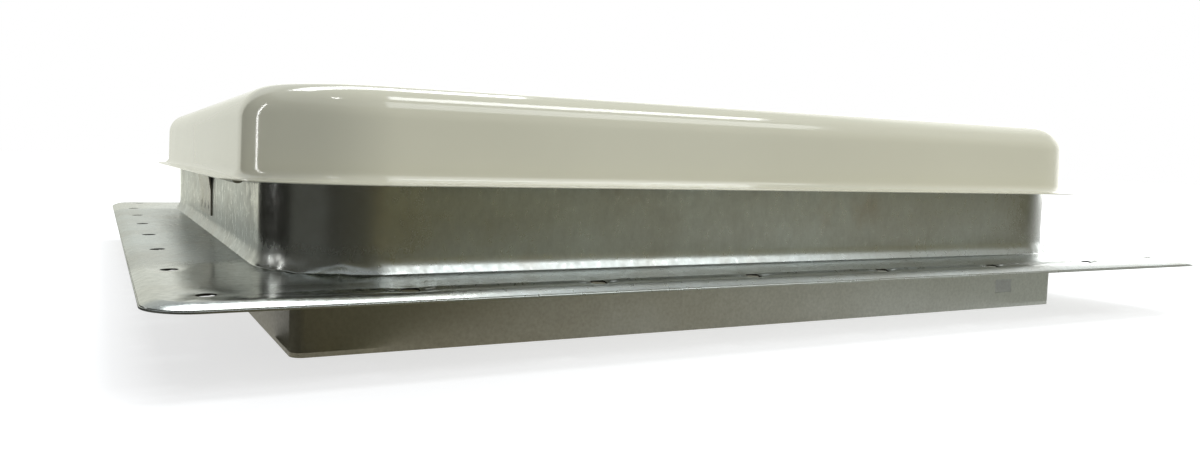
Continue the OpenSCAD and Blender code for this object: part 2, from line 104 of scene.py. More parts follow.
class Tree:
    """A thin, typed way to write the node tree of a material or of the world."""

    def __init__(self, name: str, world: bool = False) -> None:
        """Starts an empty tree.

        Args:
            name: name of the material or world.
            world: whether it is a world.
        """
        self.owner = (bpy.data.worlds if world else bpy.data.materials).new(name)
        self.owner.use_nodes = True
        self.nodes = self.owner.node_tree.nodes
        self.links = self.owner.node_tree.links
        self.nodes.clear()

    def add(self, kind: str, values: Optional[dict] = None, **settings: object) -> bpy.types.Node:
        """Adds a node.

        Args:
            kind: the node's type, without the ShaderNode prefix.
            values: what goes into its input sockets: a socket is linked, a value is set.
            settings: the node's own properties.

        Returns:
            The new node.
        """
        node = self.nodes.new("ShaderNode" + kind)
        for key, value in settings.items():
            setattr(node, key, value)
        for socket, value in (values or {}).items():
            if isinstance(value, Socket):
                self.links.new(value, node.inputs[socket])
            else:
                node.inputs[socket].default_value = value
        return node

    def place(self) -> Socket:
        """The shaded point in the object's own coordinates, in metres."""
        return self.add("TexCoord").outputs["Object"]

    def stretch(self, point: Socket, scale: Color) -> Socket:
        """A point whose three coordinates are scaled, for grain that runs one way."""
        return self.add("Mapping", {"Vector": point, "Scale": scale}).outputs["Vector"]

    def noise(self, point: Socket, kind: Noise) -> Socket:
        """Soft noise of that kind, from 0 to 1."""
        values = {"Vector": point, "Scale": kind.scale, "Detail": kind.detail, "Roughness": kind.rough}
        return self.add("TexNoise", values).outputs["Fac"]

    def ramp(self, factor: Socket, stops: Plan) -> Socket:
        """Colours along a factor.

        Args:
            factor: the socket that runs from 0 to 1.
            stops: pairs of position and linear colour.

        Returns:
            The colour socket.
        """
        node = self.add("ValToRGB", {"Fac": factor})
        elements = node.color_ramp.elements
        while len(elements) < len(stops):
            elements.new(0.5)
        for element, (position, color) in zip(elements, stops):
            element.position = position
            element.color = (*color, 1.0)
        return node.outputs["Color"]

    def span(self, value: Socket, low: float, high: float, to_low: float = 0.0,
             to_high: float = 1.0, smooth: bool = False) -> Socket:
        """Maps a value's range onto another, clamped.

        Args:
            value: the value.
            low: where its range starts.
            high: where it ends.
            to_low: what the start becomes.
            to_high: what the end becomes.
            smooth: whether the ends are eased.

        Returns:
            The mapped value.
        """
        values = {"Value": value, "From Min": low, "From Max": high, "To Min": to_low, "To Max": to_high}
        kind = "SMOOTHSTEP" if smooth else "LINEAR"
        return self.add("MapRange", values, interpolation_type=kind).outputs["Result"]

    def math(self, operation: str, a: object, b: object = 0.0) -> Socket:
        """One step of arithmetic on two values or sockets."""
        return self.add("Math", {0: a, 1: b}, operation=operation).outputs[0]

    def vector(self, operation: str, a: Socket, b: object = (0.0, 0.0, 0.0), out: int = 0) -> Socket:
        """One step of arithmetic on two vectors; output 1 is a plain number, such as a length."""
        return self.add("VectorMath", {0: a, 1: b}, operation=operation).outputs[out]

    def mix(self, factor: object, a: object, b: object) -> Socket:
        """Mixes two colours.

        Args:
            factor: share of the second one, a value or a socket.
            a: the first colour or its socket.
            b: the second colour or its socket.

        Returns:
            The colour socket.
        """
        node = self.add("Mix", {0: factor}, data_type="RGBA")
        for socket, value in ((node.inputs[6], a), (node.inputs[7], b)):
            if isinstance(value, Socket):
                self.links.new(value, socket)
            else:
                socket.default_value = (*value, 1.0)
        return node.outputs[2]

    def bump(self, height: Socket, depth: float, strength: float = 1.0,
             normal: Optional[Socket] = None) -> Socket:
        """Relief on the surface.

        Args:
            height: the relief, from 0 to 1.
            depth: its depth in metres.
            strength: how strongly it shows.
            normal: another relief that it lies on.

        Returns:
            The normal.
        """
        values = {"Height": height, "Distance": depth, "Strength": strength}
        if normal is not None:
            values["Normal"] = normal
        return self.add("Bump", values).outputs["Normal"]

    def finish(self, values: dict) -> Material:
        """Ends the tree in a Principled shader.

        Args:
            values: what goes into its inputs.

        Returns:
            The material.
        """
        shader = self.add("BsdfPrincipled", values)
        self.add("OutputMaterial", {"Surface": shader.outputs["BSDF"]})
        return self.owner

    def seen(self) -> Socket:
        """Tells the rays that show things from those that light them.

        Returns:
            1 for rays from the camera, off gloss or through glass, else 0.
        """
        path = self.add("LightPath").outputs
        first = self.math("MAXIMUM", path["Is Camera Ray"], path["Is Glossy Ray"])
        return self.math("MAXIMUM", first, path["Is Transmission Ray"])


@dataclass(frozen=True)
class Galvanised:
    """Zinc coated sheet: mottled grey metal, burnished at the drawn corners, with small marks."""

    name: str = "galvanised"
    light: Color = (0.62, 0.665, 0.66)
    dark: Color = (0.50, 0.51, 0.48)
    rusty: Color = (0.42, 0.34, 0.26)
    soot: Color = (0.24, 0.235, 0.20)
    scuffed: Color = (0.12, 0.115, 0.09)
    flat_rough: tuple[float, float] = (0.24, 0.40)
    corner_calm: float = 0.13
    scuff_rough: float = 0.2
    scuff_tilt: float = 4.0
    wander: Noise = Noise(130.0)
    tear: Noise = Noise(700.0, 4.0, 0.7)
    cloud: Noise = Noise(22.0, 5.0, 0.62)
    mottle: Noise = Noise(420.0, 5.0, 0.7)
    grit: Noise = Noise(1500.0, 3.0, 0.6)
    stain: Noise = Noise(31.0, 4.0, 0.65)
    corner_from: tuple[float, float] = (0.132, 0.156)
    wall_from: tuple[float, float] = (0.005, 0.012)
    foot_to: tuple[float, float] = (0.0022, 0.0010)
    scuff_at: tuple[float, float, float] = (-0.064, -0.1845, 0.0335)
    scuff_reach: tuple[float, float, float] = (0.030, 0.004, 0.0022)

    def scuff(self, tree: Tree, point: Socket) -> Socket:
        """The long scuff on the front of the curb.

        Args:
            tree: the material.
            point: the shaded point.

        Returns:
            1 in the scuff, 0 beside it.
        """
        wander = tree.noise(tree.stretch(point, (1.0, 1.0, 0.3)), self.wander)
        shift = tree.add("CombineXYZ", {2: tree.span(wander, 0.2, 0.8, -0.0025, 0.0025)}).outputs[0]
        offset = tree.vector("SUBTRACT", tree.vector("ADD", point, shift), self.scuff_at)
        turn = (0.0, math.radians(self.scuff_tilt), 0.0)
        slope = tree.add("Mapping", {"Vector": offset, "Rotation": turn}).outputs[0]
        share = tuple(1.0 / reach for reach in self.scuff_reach)
        distance = tree.vector("LENGTH", tree.vector("MULTIPLY", slope, share), out=1)
        inside = tree.span(distance, 1.0, 0.2, smooth=True)
        torn = tree.span(tree.noise(tree.stretch(point, (0.5, 1.0, 1.6)), self.tear), 0.42, 0.58)
        return tree.math("MULTIPLY", inside, torn)

    def corner(self, tree: Tree, point: Socket) -> Socket:
        """The drawn corners, where the die has burnished the zinc.

        Args:
            tree: the material.
            point: the shaded point.

        Returns:
            1 at the corners, 0 elsewhere and in the bend at the foot.
        """
        parts = tree.add("SeparateXYZ", {0: tree.vector("ABSOLUTE", point)})
        x = tree.span(parts.outputs["X"], *self.corner_from, smooth=True)
        y = tree.span(parts.outputs["Y"], *self.corner_from, smooth=True)
        above = tree.span(parts.outputs["Z"], *self.wall_from, smooth=True)
        below = tree.span(parts.outputs["Z"], *self.foot_to, smooth=True)
        return tree.math("MULTIPLY", tree.math("MULTIPLY", x, y), tree.math("MAXIMUM", above, below))

    def build(self) -> Material:
        """Builds the material.

        Returns:
            The material.
        """
        tree = Tree(self.name)
        point = tree.place()
        corner = self.corner(tree, point)
        cloud = tree.noise(point, self.cloud)
        mottle = tree.noise(tree.stretch(point, (1.0, 1.0, 0.6)), self.mottle)
        grit = tree.noise(point, self.grit)
        stain = tree.noise(point, self.stain)
        color = tree.mix(tree.span(cloud, 0.34, 0.66), self.dark, self.light)
        color = tree.mix(tree.span(stain, 0.58, 0.76, 0.0, 0.34), color, self.rusty)
        color = tree.mix(tree.span(mottle, 0.35, 0.75, 0.0, 0.28), color, self.soot)
        mark = self.scuff(tree, point)
        color = tree.mix(tree.math("MULTIPLY", mark, 0.62), color, self.scuffed)
        rough = tree.span(mottle, 0.3, 0.7, *self.flat_rough)
        calm = tree.math("SUBTRACT", rough, tree.math("MULTIPLY", corner, self.corner_calm))
        calm = tree.math("ADD", calm, tree.math("MULTIPLY", mark, self.scuff_rough))
        normal = tree.bump(mottle, 0.00008, 0.16)
        normal = tree.bump(grit, 0.00003, 0.32, normal)
        values = {"Base Color": color, "Roughness": calm, "Normal": normal, "Metallic": 1.0}
        return tree.finish(values)


@dataclass(frozen=True)
class DullSheet:
    """Sheet that was never polished: the throat, with a few rust spots; its colour runs from a dark brown at
    -X, painted shade, to a light grey at +X, painted light.
    """

    name: str = "throat_sheet"
    # Dark brown at -X and light grey at +X, blended along X: painted shade and painted light across the
    # throat.
    shaded_brown: Color = (0.33, 0.305, 0.215)
    grey: Color = (0.60, 0.62, 0.565)
    shade_light_span_x: tuple[float, float] = (-0.18, 0.18)
    rust: Color = (0.16, 0.075, 0.035)
    dirt: Color = (0.08, 0.08, 0.07)
    cloud: Noise = Noise(16.0, 4.0, 0.6)
    fine: Noise = Noise(800.0, 5.0, 0.6)
    spots: Noise = Noise(55.0, 3.0, 0.6)
    roughness: tuple[float, float] = (0.38, 0.55)
    metallic: float = 0.55

    def build(self) -> Material:
        """Builds the material.

        Returns:
            The material.
        """
        tree = Tree(self.name)
        point = tree.place()
        x = tree.add("SeparateXYZ", {0: point}).outputs["X"]
        cloud = tree.noise(point, self.cloud)
        # Painted shade and painted light: darker brown towards -X, lighter grey towards +X.
        drift = tree.math("ADD", x, tree.span(cloud, 0.2, 0.8, -0.06, 0.06))
        color = tree.mix(tree.span(drift, *self.shade_light_span_x, smooth=True), self.shaded_brown, self.grey)
        fine = tree.noise(point, self.fine)
        color = tree.mix(tree.span(fine, 0.35, 0.75, 0.0, 0.18), color, self.dirt)
        stain = tree.span(tree.noise(point, self.spots), 0.66, 0.78, 0.0, 0.45)
        color = tree.mix(stain, color, self.rust)
        rough = tree.span(fine, 0.3, 0.7, *self.roughness)
        normal = tree.bump(fine, 0.00002, 0.5)
        values = {"Base Color": color, "Roughness": rough, "Normal": normal, "Metallic": self.metallic}
        return tree.finish(values)


@dataclass(frozen=True)
class Enamel:
    """Gloss off-white enamel over drawn steel, with orange peel and a little dust."""

    name: str = "white_enamel"
    color: Color = (0.745, 0.722, 0.575)
    shade: Color = (0.705, 0.683, 0.54)
    dust: Color = (0.45, 0.43, 0.36)
    roughness: tuple[float, float] = (0.07, 0.13)
    cloud: Noise = Noise(9.0, 3.0)
    specks: Noise = Noise(1400.0, 3.0, 0.6)
    dull: Noise = Noise(30.0, 3.0, 0.6)
    peel: Noise = Noise(260.0)
    coat: float = 0.35
    coat_rough: float = 0.04

    def build(self) -> Material:
        """Builds the material.

        Returns:
            The material.
        """
        tree = Tree(self.name)
        point = tree.place()
        cloud = tree.noise(point, self.cloud)
        color = tree.mix(tree.span(cloud, 0.3, 0.7), self.color, self.shade)
        dust = tree.span(tree.noise(point, self.specks), 0.70, 0.78, 0.0, 0.25)
        color = tree.mix(dust, color, self.dust)
        rough = tree.span(tree.noise(point, self.dull), 0.3, 0.7, *self.roughness)
        normal = tree.bump(tree.noise(point, self.peel), 0.00003, 0.25)
        values = {"Base Color": color, "Roughness": rough, "Normal": normal, "Coat Weight": self.coat,
                  "Coat Roughness": self.coat_rough}
        return tree.finish(values)


@dataclass(frozen=True)
class Plated:
    """Zinc plated steel of the small parts, satin with faint colour drift."""

    name: str = "zinc_plated"
    color: Color = (0.58, 0.58, 0.56)
    tint: Color = (0.50, 0.49, 0.42)
    roughness: tuple[float, float] = (0.26, 0.42)
    cloud: Noise = Noise(60.0, 4.0, 0.6)
    fine: Noise = Noise(1800.0, 4.0, 0.6)

    def build(self) -> Material:
        """Builds the material.

        Returns:
            The material.
        """
        tree = Tree(self.name)
        point = tree.place()
        cloud = tree.noise(point, self.cloud)
        fine = tree.noise(tree.stretch(point, (1.0, 0.15, 1.0)), self.fine)
        color = tree.mix(tree.span(cloud, 0.35, 0.7), self.color, self.tint)
        rough = tree.span(fine, 0.3, 0.7, *self.roughness)
        normal = tree.bump(fine, 0.00001, 0.5)
        values = {"Base Color": color, "Roughness": rough, "Normal": normal, "Metallic": 1.0}
        return tree.finish(values)


@dataclass(frozen=True)
class Moulded:
    """Moulded plastic, rubber or foam with a fine skin texture."""

    name: str
    color: Color
    shade: Color
    roughness: tuple[float, float]
    skin_scale: float = 1600.0
    skin_depth: float = 0.00003
    strength: float = 0.4
    cloud: Noise = Noise(40.0, 4.0, 0.6)

    def build(self) -> Material:
        """Builds the material.

        Returns:
            The material.
        """
        tree = Tree(self.name)
        point = tree.place()
        cloud = tree.noise(point, self.cloud)
        skin = tree.noise(point, Noise(self.skin_scale, 4.0, 0.6))
        color = tree.mix(tree.span(cloud, 0.3, 0.7), self.color, self.shade)
        color = tree.mix(tree.span(skin, 0.62, 0.8, 0.0, 0.3), color, self.shade)
        rough = tree.span(skin, 0.3, 0.7, *self.roughness)
        normal = tree.bump(skin, self.skin_depth, self.strength)
        return tree.finish({"Base Color": color, "Roughness": rough, "Normal": normal})


@dataclass
class Finishes:
    """Every finish of the vent, built once."""

    galvanised: Material = field(default_factory=Galvanised().build)
    throat: Material = field(default_factory=DullSheet().build)
    enamel: Material = field(default_factory=Enamel().build)
    plated: Material = field(default_factory=Plated().build)
    # Walls of the punched holes: bare cut steel, coloured near black as painted shade inside the holes.
    cut_steel_hole_shade: Material = field(default_factory=Plated(
        "cut_steel_hole_shade", (0.07, 0.066, 0.06), (0.04, 0.036, 0.03), (0.45, 0.6)).build)
    aluminium: Material = field(default_factory=Plated(
        "mill_aluminium", (0.66, 0.67, 0.68), (0.60, 0.61, 0.61), (0.28, 0.40)).build)
    wire: Material = field(default_factory=Plated(
        "screen_wire", (0.30, 0.31, 0.31), (0.22, 0.23, 0.23), (0.35, 0.5)).build)
    housing: Material = field(default_factory=Moulded(
        "filled_nylon", (0.055, 0.058, 0.062), (0.04, 0.042, 0.045), (0.42, 0.58)).build)
    nylon: Material = field(default_factory=Moulded(
        "natural_nylon", (0.72, 0.70, 0.62), (0.66, 0.64, 0.55), (0.34, 0.46), 2200.0, 0.00001).build)
    knob: Material = field(default_factory=Moulded(
        "knob_plastic", (0.66, 0.645, 0.57), (0.60, 0.585, 0.51), (0.28, 0.38), 900.0, 0.00002).build)
    foam: Material = field(default_factory=Moulded(
        "closed_cell_foam", (0.022, 0.022, 0.023), (0.012, 0.012, 0.012), (0.72, 0.9), 1300.0, 0.0001,
        0.8).build)
    rubber: Material = field(default_factory=Moulded(
        "spline_rubber", (0.02, 0.02, 0.02), (0.012, 0.012, 0.012), (0.5, 0.65), 2000.0).build)


def arc(center: Sequence[float], radius: float, start: float, end: float,
        steps: int) -> list[tuple[float, float]]:
    """Points along an arc of a section.

    Args:
        center: the arc's centre in the section.
        radius: its radius in metres.
        start: first angle in degrees.
        end: last angle in degrees.
        steps: number of stretches.

    Returns:
        The points, both ends included.
    """
    angles = np.radians(np.linspace(start, end, steps + 1))
    return [(center[0] + radius * math.cos(a), center[1] + radius * math.sin(a)) for a in angles]


@dataclass(frozen=True)
class Square:
    """A square with round corners, walked as stations that each have a foot and an outward way.

    A section point at x, z lies x outward of the station's foot. The feet are the corner centres
    and the straight stretches between them.
    """

    straight: float
    corner_steps: int = 24
    side_steps: int = 48

    def stations(self) -> tuple[Points, Points]:
        """Walks once round, counter-clockwise.

        Returns:
            The feet and the outward unit vectors.
        """
        feet, ways = [], []
        for quarter in range(4):
            turn = math.radians(90.0 * quarter)
            spin = np.array([[math.cos(turn), -math.sin(turn)], [math.sin(turn), math.cos(turn)]])
            center = spin @ np.array([self.straight, self.straight])
            following = spin @ np.array([-self.straight, self.straight])
            for step in range(self.corner_steps + 1):
                angle = turn + math.radians(90.0) * step / self.corner_steps
                feet.append(center)
                ways.append((math.cos(angle), math.sin(angle)))
            for step in range(1, self.side_steps):
                share = step / self.side_steps
                feet.append(center * (1 - share) + following * share)
                ways.append(ways[-1])
        return np.array(feet), np.array(ways)

    def ring(self, out: float, height: float) -> Points:
        """One closed ring of points.

        Args:
            out: distance outward of the feet.
            height: its height.

        Returns:
            The points.
        """
        feet, ways = self.stations()
        flat = feet + ways * out
        return np.column_stack([flat, np.full(len(flat), height)])


def make_object(name: str, points: Points, faces: Iterable[Sequence[int]], material: Material,
                smooth: bool = True, sharp: float = SHARP) -> Object:
    """Makes a mesh object in the scene.

    Args:
        name: name of the piece.
        points: its vertices in metres.
        faces: vertex numbers of each face.
        material: its finish.
        smooth: whether its faces are shaded smooth.
        sharp: angle in degrees past which an edge stays sharp.

    Returns:
        The object.
    """
    mesh = bpy.data.meshes.new(name)
    mesh.from_pydata([tuple(p) for p in np.asarray(points, float)], [], [list(f) for f in faces])
    mesh.materials.append(material)
    if smooth:
        mesh.shade_smooth()
        mesh.set_sharp_from_angle(angle=math.radians(sharp))
    mesh.validate()
    mesh.update()
    piece = bpy.data.objects.new(name, mesh)
    bpy.context.scene.collection.objects.link(piece)
    return piece


def bridge(rings: int, size: int, closed: bool = False) -> list[tuple[int, int, int, int]]:
    """Quads between rings of points that follow one another.

    Args:
        rings: how many rings there are.
        size: points in each ring.
        closed: whether the last ring joins the first.

    Returns:
        The faces, as vertex numbers.
    """
    faces = []
    for ring in range(rings if closed else rings - 1):
        here, there = ring * size, ((ring + 1) % rings) * size
        for k in range(size):
            after = (k + 1) % size
            faces.append((here + k, here + after, there + after, there + k))
    return faces


def slow_wave(points: Points, amount: float, seed: float) -> Points:
    """A gentle unevenness of sheet metal, the same at every run.

    Args:
        points: points of the sheet.
        amount: about how far it goes either way, in metres.
        seed: picks one of its forms.

    Returns:
        The offset at each point.
    """
    x, y = points[:, 0], points[:, 1]
    wave = (np.sin(23.0 * x + 1.7 * seed) * np.cos(19.0 * y - seed)
            + 0.6 * np.sin(47.0 * x - 31.0 * y + 2.3 * seed) + 0.4 * np.cos(71.0 * y + 53.0 * x + seed))
    return amount * wave / 2.0


def put(piece: Object, body: Body, replaces: Optional[str] = None) -> Object:
    """Lets a new piece ride on a body and hides the node that it stands for.

    Args:
        piece: the new piece.
        body: the body that it moves with.
        replaces: the node that it stands for, if any.

    Returns:
        The piece.
    """
    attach(piece, body.value)
    if replaces:
        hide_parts(replaces)
    LOG.info("piece %s rides on %s", piece.name, body.value)
    return piece


@dataclass
class Base:
    """The drawn base: flange with rim and punched holes, curb, foot bend and inward ledge."""

    finishes: Finishes
    sheet: float = 0.7 * MM
    curb_r: float = 36 * MM
    foot_r: float = 5.5 * MM
    foot_lean: float = 30.0
    foot_slope: float = 1.9 * MM
    foot_tight_r: float = 0.8 * MM
    top_r: float = 2.2 * MM
    ledge: float = 14 * MM
    flange_ledge: float = 37.75 * MM
    flange_r: float = 14 * MM
    rim_run: float = 4.2 * MM
    rim_drop: float = 2.1 * MM
    rim_dip: float = 0.4 * MM
    crease_half: float = 211.2 * MM
    crease_end: float = 196 * MM
    level_half: float = 207.9 * MM
    level_r: float = 20 * MM
    hole_r: float = 2.75 * MM
    hole_inset: float = 11 * MM
    corner_inset: float = 16.25 * MM
    corner_gap: float = 53.5 * MM
    holes_per_side: int = 6
    hole_sides: int = 20
    grid: float = 6 * MM
    wrinkle_edge: float = 0.6
    wrinkle_start: float = 1.0 * MM
    wrinkle_band: float = 6.5 * MM
    wrinkle_h: float = 0.182 * MM
    wrinkle_waves: tuple = ((13, 1.0, 0.0, 0.9), (23, 0.7, 1.0, 2.0), (41, 0.5, 0.0, -1.0))
    fold_pitch: float = 1.35 * MM
    fold_h: float = 0.14 * MM
    wall_wave: float = 0.2 * MM
    dimple_h: float = 0.30 * MM
    dimple_reach: float = 2.4 * MM
    plate_wave: float = 0.08 * MM
    burr: float = 0.25 * MM
    crease_fade: float = 20 * MM
    levels: tuple = ((-14.5, 0.08), (-12.9, 0.12), (-10.9, 0.28), (-4.0, 0.27), (-2.3, 0.14), (-1.6, 0.03),
                     (-1.1, 0.02), (0.2, 0.62), (0.8, 0.63), (3.4, 0.50))
    curb_h: float = field(init=False)
    flange_half: float = field(init=False)

    def __post_init__(self) -> None:
        """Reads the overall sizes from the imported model."""
        low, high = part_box("base_frame")
        self.curb_h = high.z
        self.flange_half = high.x

    def hole_centers(self) -> list[tuple[float, float]]:
        """Centres of all screw holes.

        Returns:
            The x and y of each, four at a time, one on each side of the flange.
        """
        line = self.flange_half - self.hole_inset
        corner = self.flange_half - self.corner_inset
        row = np.linspace(-1, 1, self.holes_per_side) * (corner - self.corner_gap)
        spots = []
        for x, y in [(-corner, -corner)] + [(float(x), -line) for x in row]:
            spots += [(x, y), (-y, x), (-x, -y), (y, -x)]
        return spots

    def wrinkle(self, points: Points) -> Points:
        """Points moved by the small waves that drawing leaves round each corner of the curb.

        Args:
            points: points of the sheet, in metres.

        Returns:
            The moved points.
        """
        straight = self.flange_half - self.flange_ledge - self.curb_r
        over = (np.abs(points[:, :2]) - straight).clip(0)
        reach = np.hypot(over[:, 0], over[:, 1])
        angle = np.arctan2(over[:, 1], over[:, 0].clip(1e-9))
        quarter = 2.0 * (points[:, 0] > 0) + 1.0 * (points[:, 1] > 0)
        window = np.sin(2 * angle).clip(0) ** self.wrinkle_edge
        along = reach - points[:, 2] - (self.curb_r + self.wrinkle_start)
        band = np.exp(-(along / self.wrinkle_band) ** 2) * window
        wave = sum(strength * np.sin(count * angle + phase + turn * quarter)
                   for count, strength, phase, turn in self.wrinkle_waves)
        fold = np.sin(along / self.fold_pitch + 2.2 * np.sin(7 * angle + quarter))
        push = band * (self.wrinkle_h * wave + self.fold_h * fold)
        away = np.divide(over, reach[:, None], out=np.zeros_like(over), where=reach[:, None] > 0)
        moved = points.copy()
        moved[:, :2] += np.sign(points[:, :2]) * away * push[:, None]
        moved[:, 2] += push
        return moved

    def foot_path(self, skin: float) -> list[tuple[float, float]]:
        """Section of the foot bend: out along the plate, a tight bend, a slope and a wide bend into the wall.

        Args:
            skin: 0 for the outer face, the sheet's thickness for the inner one.

        Returns:
            Points of x outward of the corner centres and z.
        """
        lean = math.radians(self.foot_lean)
        tight_h = self.foot_tight_r * (1 - math.sin(lean))
        wide_r = (self.foot_r - tight_h - self.foot_slope * math.cos(lean)) / math.sin(lean)
        path, x, z = [(0.0, 0.0, 0.0)], 0.0, 0.0
        right = 0.5 * math.pi
        for first, last, count, length in ((0.0, lean, 9, lean * wide_r), (lean, lean, 3, self.foot_slope),
                                           (lean, right, 7, (right - lean) * self.foot_tight_r)):
            for step in range(count):
                middle = first + (last - first) * (step + 0.5) / count
                x += math.sin(middle) * length / count
                z -= math.cos(middle) * length / count
                path.append((x, z, first + (last - first) * (step + 1) / count))
        path.append((self.foot_r, -self.foot_r, right))
        foot = self.sheet + self.foot_r
        section = [(self.curb_r + px - skin * math.cos(turn), foot + pz - skin * math.sin(turn))
                   for px, pz, turn in path]
        return section[::-1]

    def curb_path(self, skin: float) -> list[tuple[float, float]]:
        """Section of one face of the curb from the foot to the end of the ledge.

        Args:
            skin: 0 for the outer face, the sheet's thickness for the inner one.

        Returns:
            Points of x outward of the corner centres and z.
        """
        foot = self.sheet + self.foot_r
        path = self.foot_path(skin)
        walls = np.linspace(foot, self.curb_h - self.top_r, 10)[1:-1]
        path += [(self.curb_r - skin, z) for z in walls]
        path += arc((self.curb_r - self.top_r, self.curb_h - self.top_r), self.top_r - skin, 0, 90, 6)
        path.append((self.curb_r - self.ledge, self.curb_h - skin))
        return path

    def curb_rings(self, square: Square, path: Sequence[tuple[float, float]]) -> list[Points]:
        """Rings of the curb's face, slightly uneven as the real sheet.

        Args:
            square: the walk round the curb.
            path: the section of the face.

        Returns:
            One ring for each point of the section.
        """
        _, ways = square.stations()
        rings = []
        for x, z in path:
            ring = square.ring(x, z)
            wall = math.sin(math.pi * min(max((z - self.sheet) / (self.curb_h - self.sheet), 0), 1))
            ring[:, :2] -= ways * np.abs(wall * slow_wave(ring, self.wall_wave, 2.0))[:, None]
            rings.append(ring)
        return rings

    def dimple(self, points: Points) -> Points:
        """How far the plate is drawn down round the holes.

        Args:
            points: points of the plate.

        Returns:
            The drop at each.
        """
        drop = np.zeros(len(points))
        for center in self.hole_centers():
            away = np.hypot(points[:, 0] - center[0], points[:, 1] - center[1])
            drop += self.dimple_h * np.exp(-((away - self.hole_r).clip(0) / self.dimple_reach) ** 2)
        return drop

    def plate(self, outer: Points, inner: Points) -> tuple[Points, list[tuple[int, ...]], list[list[int]]]:
        """Triangles of the flange plate between two rings, with its holes left open.

        Args:
            outer: the ring where the rim starts.
            inner: the ring where the curb's foot starts.

        Returns:
            The points, the triangles and, for each hole, the numbers of its edge points.
        """
        loops = [outer[:, :2], inner[:, :2]]
        turn = np.linspace(0, 2 * math.pi, self.hole_sides, endpoint=False)
        circle = np.column_stack([np.cos(turn), np.sin(turn)])
        centers = np.array(self.hole_centers())
        loops += [center + self.hole_r * circle for center in centers]
        wide = [center + 1.9 * self.hole_r * circle[::2] for center in centers]
        creases = self.crease_lines()
        steps = np.arange(-self.flange_half, self.flange_half, self.grid)
        xs, ys = np.meshgrid(steps, steps)
        field_points = np.column_stack([xs.ravel(), ys.ravel()])
        keep = self.between(field_points, 3 * MM)
        for center in centers:
            keep &= np.hypot(*(field_points - center).T) > 2.6 * self.hole_r
        everything = loops + creases + wide + [field_points[keep]]
        coords = np.concatenate(everything)
        edges, start, hole_edges = [], 0, []
        for number, loop in enumerate(loops):
            n = len(loop)
            edges += [(start + k, start + (k + 1) % n) for k in range(n)]
            if number > 1:
                hole_edges.append(list(range(start, start + n)))
            start += n
        for line in creases:
            edges += [(start + k, start + k + 1) for k in range(len(line) - 1)]
            start += len(line)
        cut = delaunay_2d_cdt([Vector(c) for c in coords], edges, [], 0, 1e-7)
        points = np.array([tuple(v) for v in cut[0]])
        origin = {old: new for new, olds in enumerate(cut[3]) for old in olds}
        faces = []
        for face in cut[2]:
            middle = points[list(face)].mean(axis=0)
            if not self.between(middle[None], 0.0)[0]:
                continue
            if np.min(np.hypot(*(centers - middle).T)) < self.hole_r * 0.98:
                continue
            faces.append(tuple(face))
        return points, faces, [[origin[k] for k in loop] for loop in hole_edges]

    def between(self, points: Points, margin: float) -> Points:
        """Whether points lie on the flange plate.

        Args:
            points: the points, x and y.
            margin: how far inside its edges they have to be.

        Returns:
            True or false for each.
        """
        rim = out_by(points, self.flange_r - self.rim_run, self.flange_half - self.rim_run)
        curb_half = self.flange_half - self.flange_ledge
        foot = out_by(points, self.curb_r + self.foot_r, curb_half + self.foot_r)
        return (rim < -margin) & (foot > margin)

    def build(self) -> Object:
        """Builds the base as one closed sheet with its holes punched through.

        Returns:
            The piece.
        """
        curb = Square(self.flange_half - self.flange_ledge - self.curb_r, 32, 64)
        flange = Square(self.flange_half - self.flange_r, 16, 72)
        points: list[Points] = []
        faces: list[tuple[int, ...]] = []

        def add(new_points: Points, new_faces: Iterable[Sequence[int]]) -> int:
            """Adds a patch.

            Args:
                new_points: its points.
                new_faces: its faces, numbered from 0.

            Returns:
                The number of its first point.
            """
            start = sum(len(p) for p in points)
            points.append(np.asarray(new_points, float))
            faces.extend(tuple(start + k for k in face) for face in new_faces)
            return start

        outer_rings = self.curb_rings(curb, self.curb_path(0.0))
        inner_rings = self.curb_rings(curb, self.curb_path(self.sheet))
        rings = outer_rings + inner_rings[::-1]
        add(np.concatenate(rings), bridge(len(rings), len(rings[0])))

        rim_rings = [flange.ring(x, z) for x, z in self.rim_path()]
        add(np.concatenate(rim_rings), bridge(len(rim_rings), len(rim_rings[0])))

        flat, triangles, holes = self.plate(rim_rings[0], outer_rings[0])
        drop = self.dimple(flat) + self.waves(flat)
        level, outer_strip = self.plate_drop(flat)
        top = np.column_stack([flat, self.sheet - drop - level])
        under = np.column_stack([flat, -drop - level * outer_strip])
        flipped = [face[::-1] for face in triangles]
        top_start = add(top, triangles)
        under_start = add(under, flipped)
        first_cut = len(faces)
        for loop in holes:
            n = len(loop)
            faces.extend((top_start + loop[k], under_start + loop[k],
                          under_start + loop[(k + 1) % n], top_start + loop[(k + 1) % n]) for k in range(n))
        moved = self.wrinkle(np.concatenate(points))
        piece = make_object("base_sheet", moved, faces, self.finishes.galvanised)
        # The hole walls take the near-black finish: painted shade inside the holes.
        piece.data.materials.append(self.finishes.cut_steel_hole_shade)
        for face in piece.data.polygons[first_cut:]:
            face.material_index = 1
        weld(piece, 0.01 * MM)
        return put(piece, Body.BASE, "base_frame")

    def rim_path(self) -> list[tuple[float, float]]:
        """Section of the rim: it rolls over, ends in a light burr and comes back underneath.

        Returns:
            Points of x outward of the corner centres and z.
        """
        rim_r = self.flange_r - self.rim_run
        run = self.rim_run - self.burr
        fall = self.sheet - self.rim_dip + 1.2 * MM
        path = []
        for share in np.linspace(0.0, 1.0, 9):
            sunk = fall * share * (0.55 + 0.45 * share)
            path.append((rim_r + run * share, self.sheet - self.rim_dip - sunk))
        low = path[-1][1]
        path += [(self.flange_r - 0.20 * MM, low - 0.24 * MM), (self.flange_r, low - 0.40 * MM),
                 (self.flange_r, -self.rim_drop), (self.flange_r - 0.6 * MM, -self.rim_drop),
                 (rim_r + 0.5 * run, -0.95 * MM), (rim_r, -self.rim_dip)]
        return path

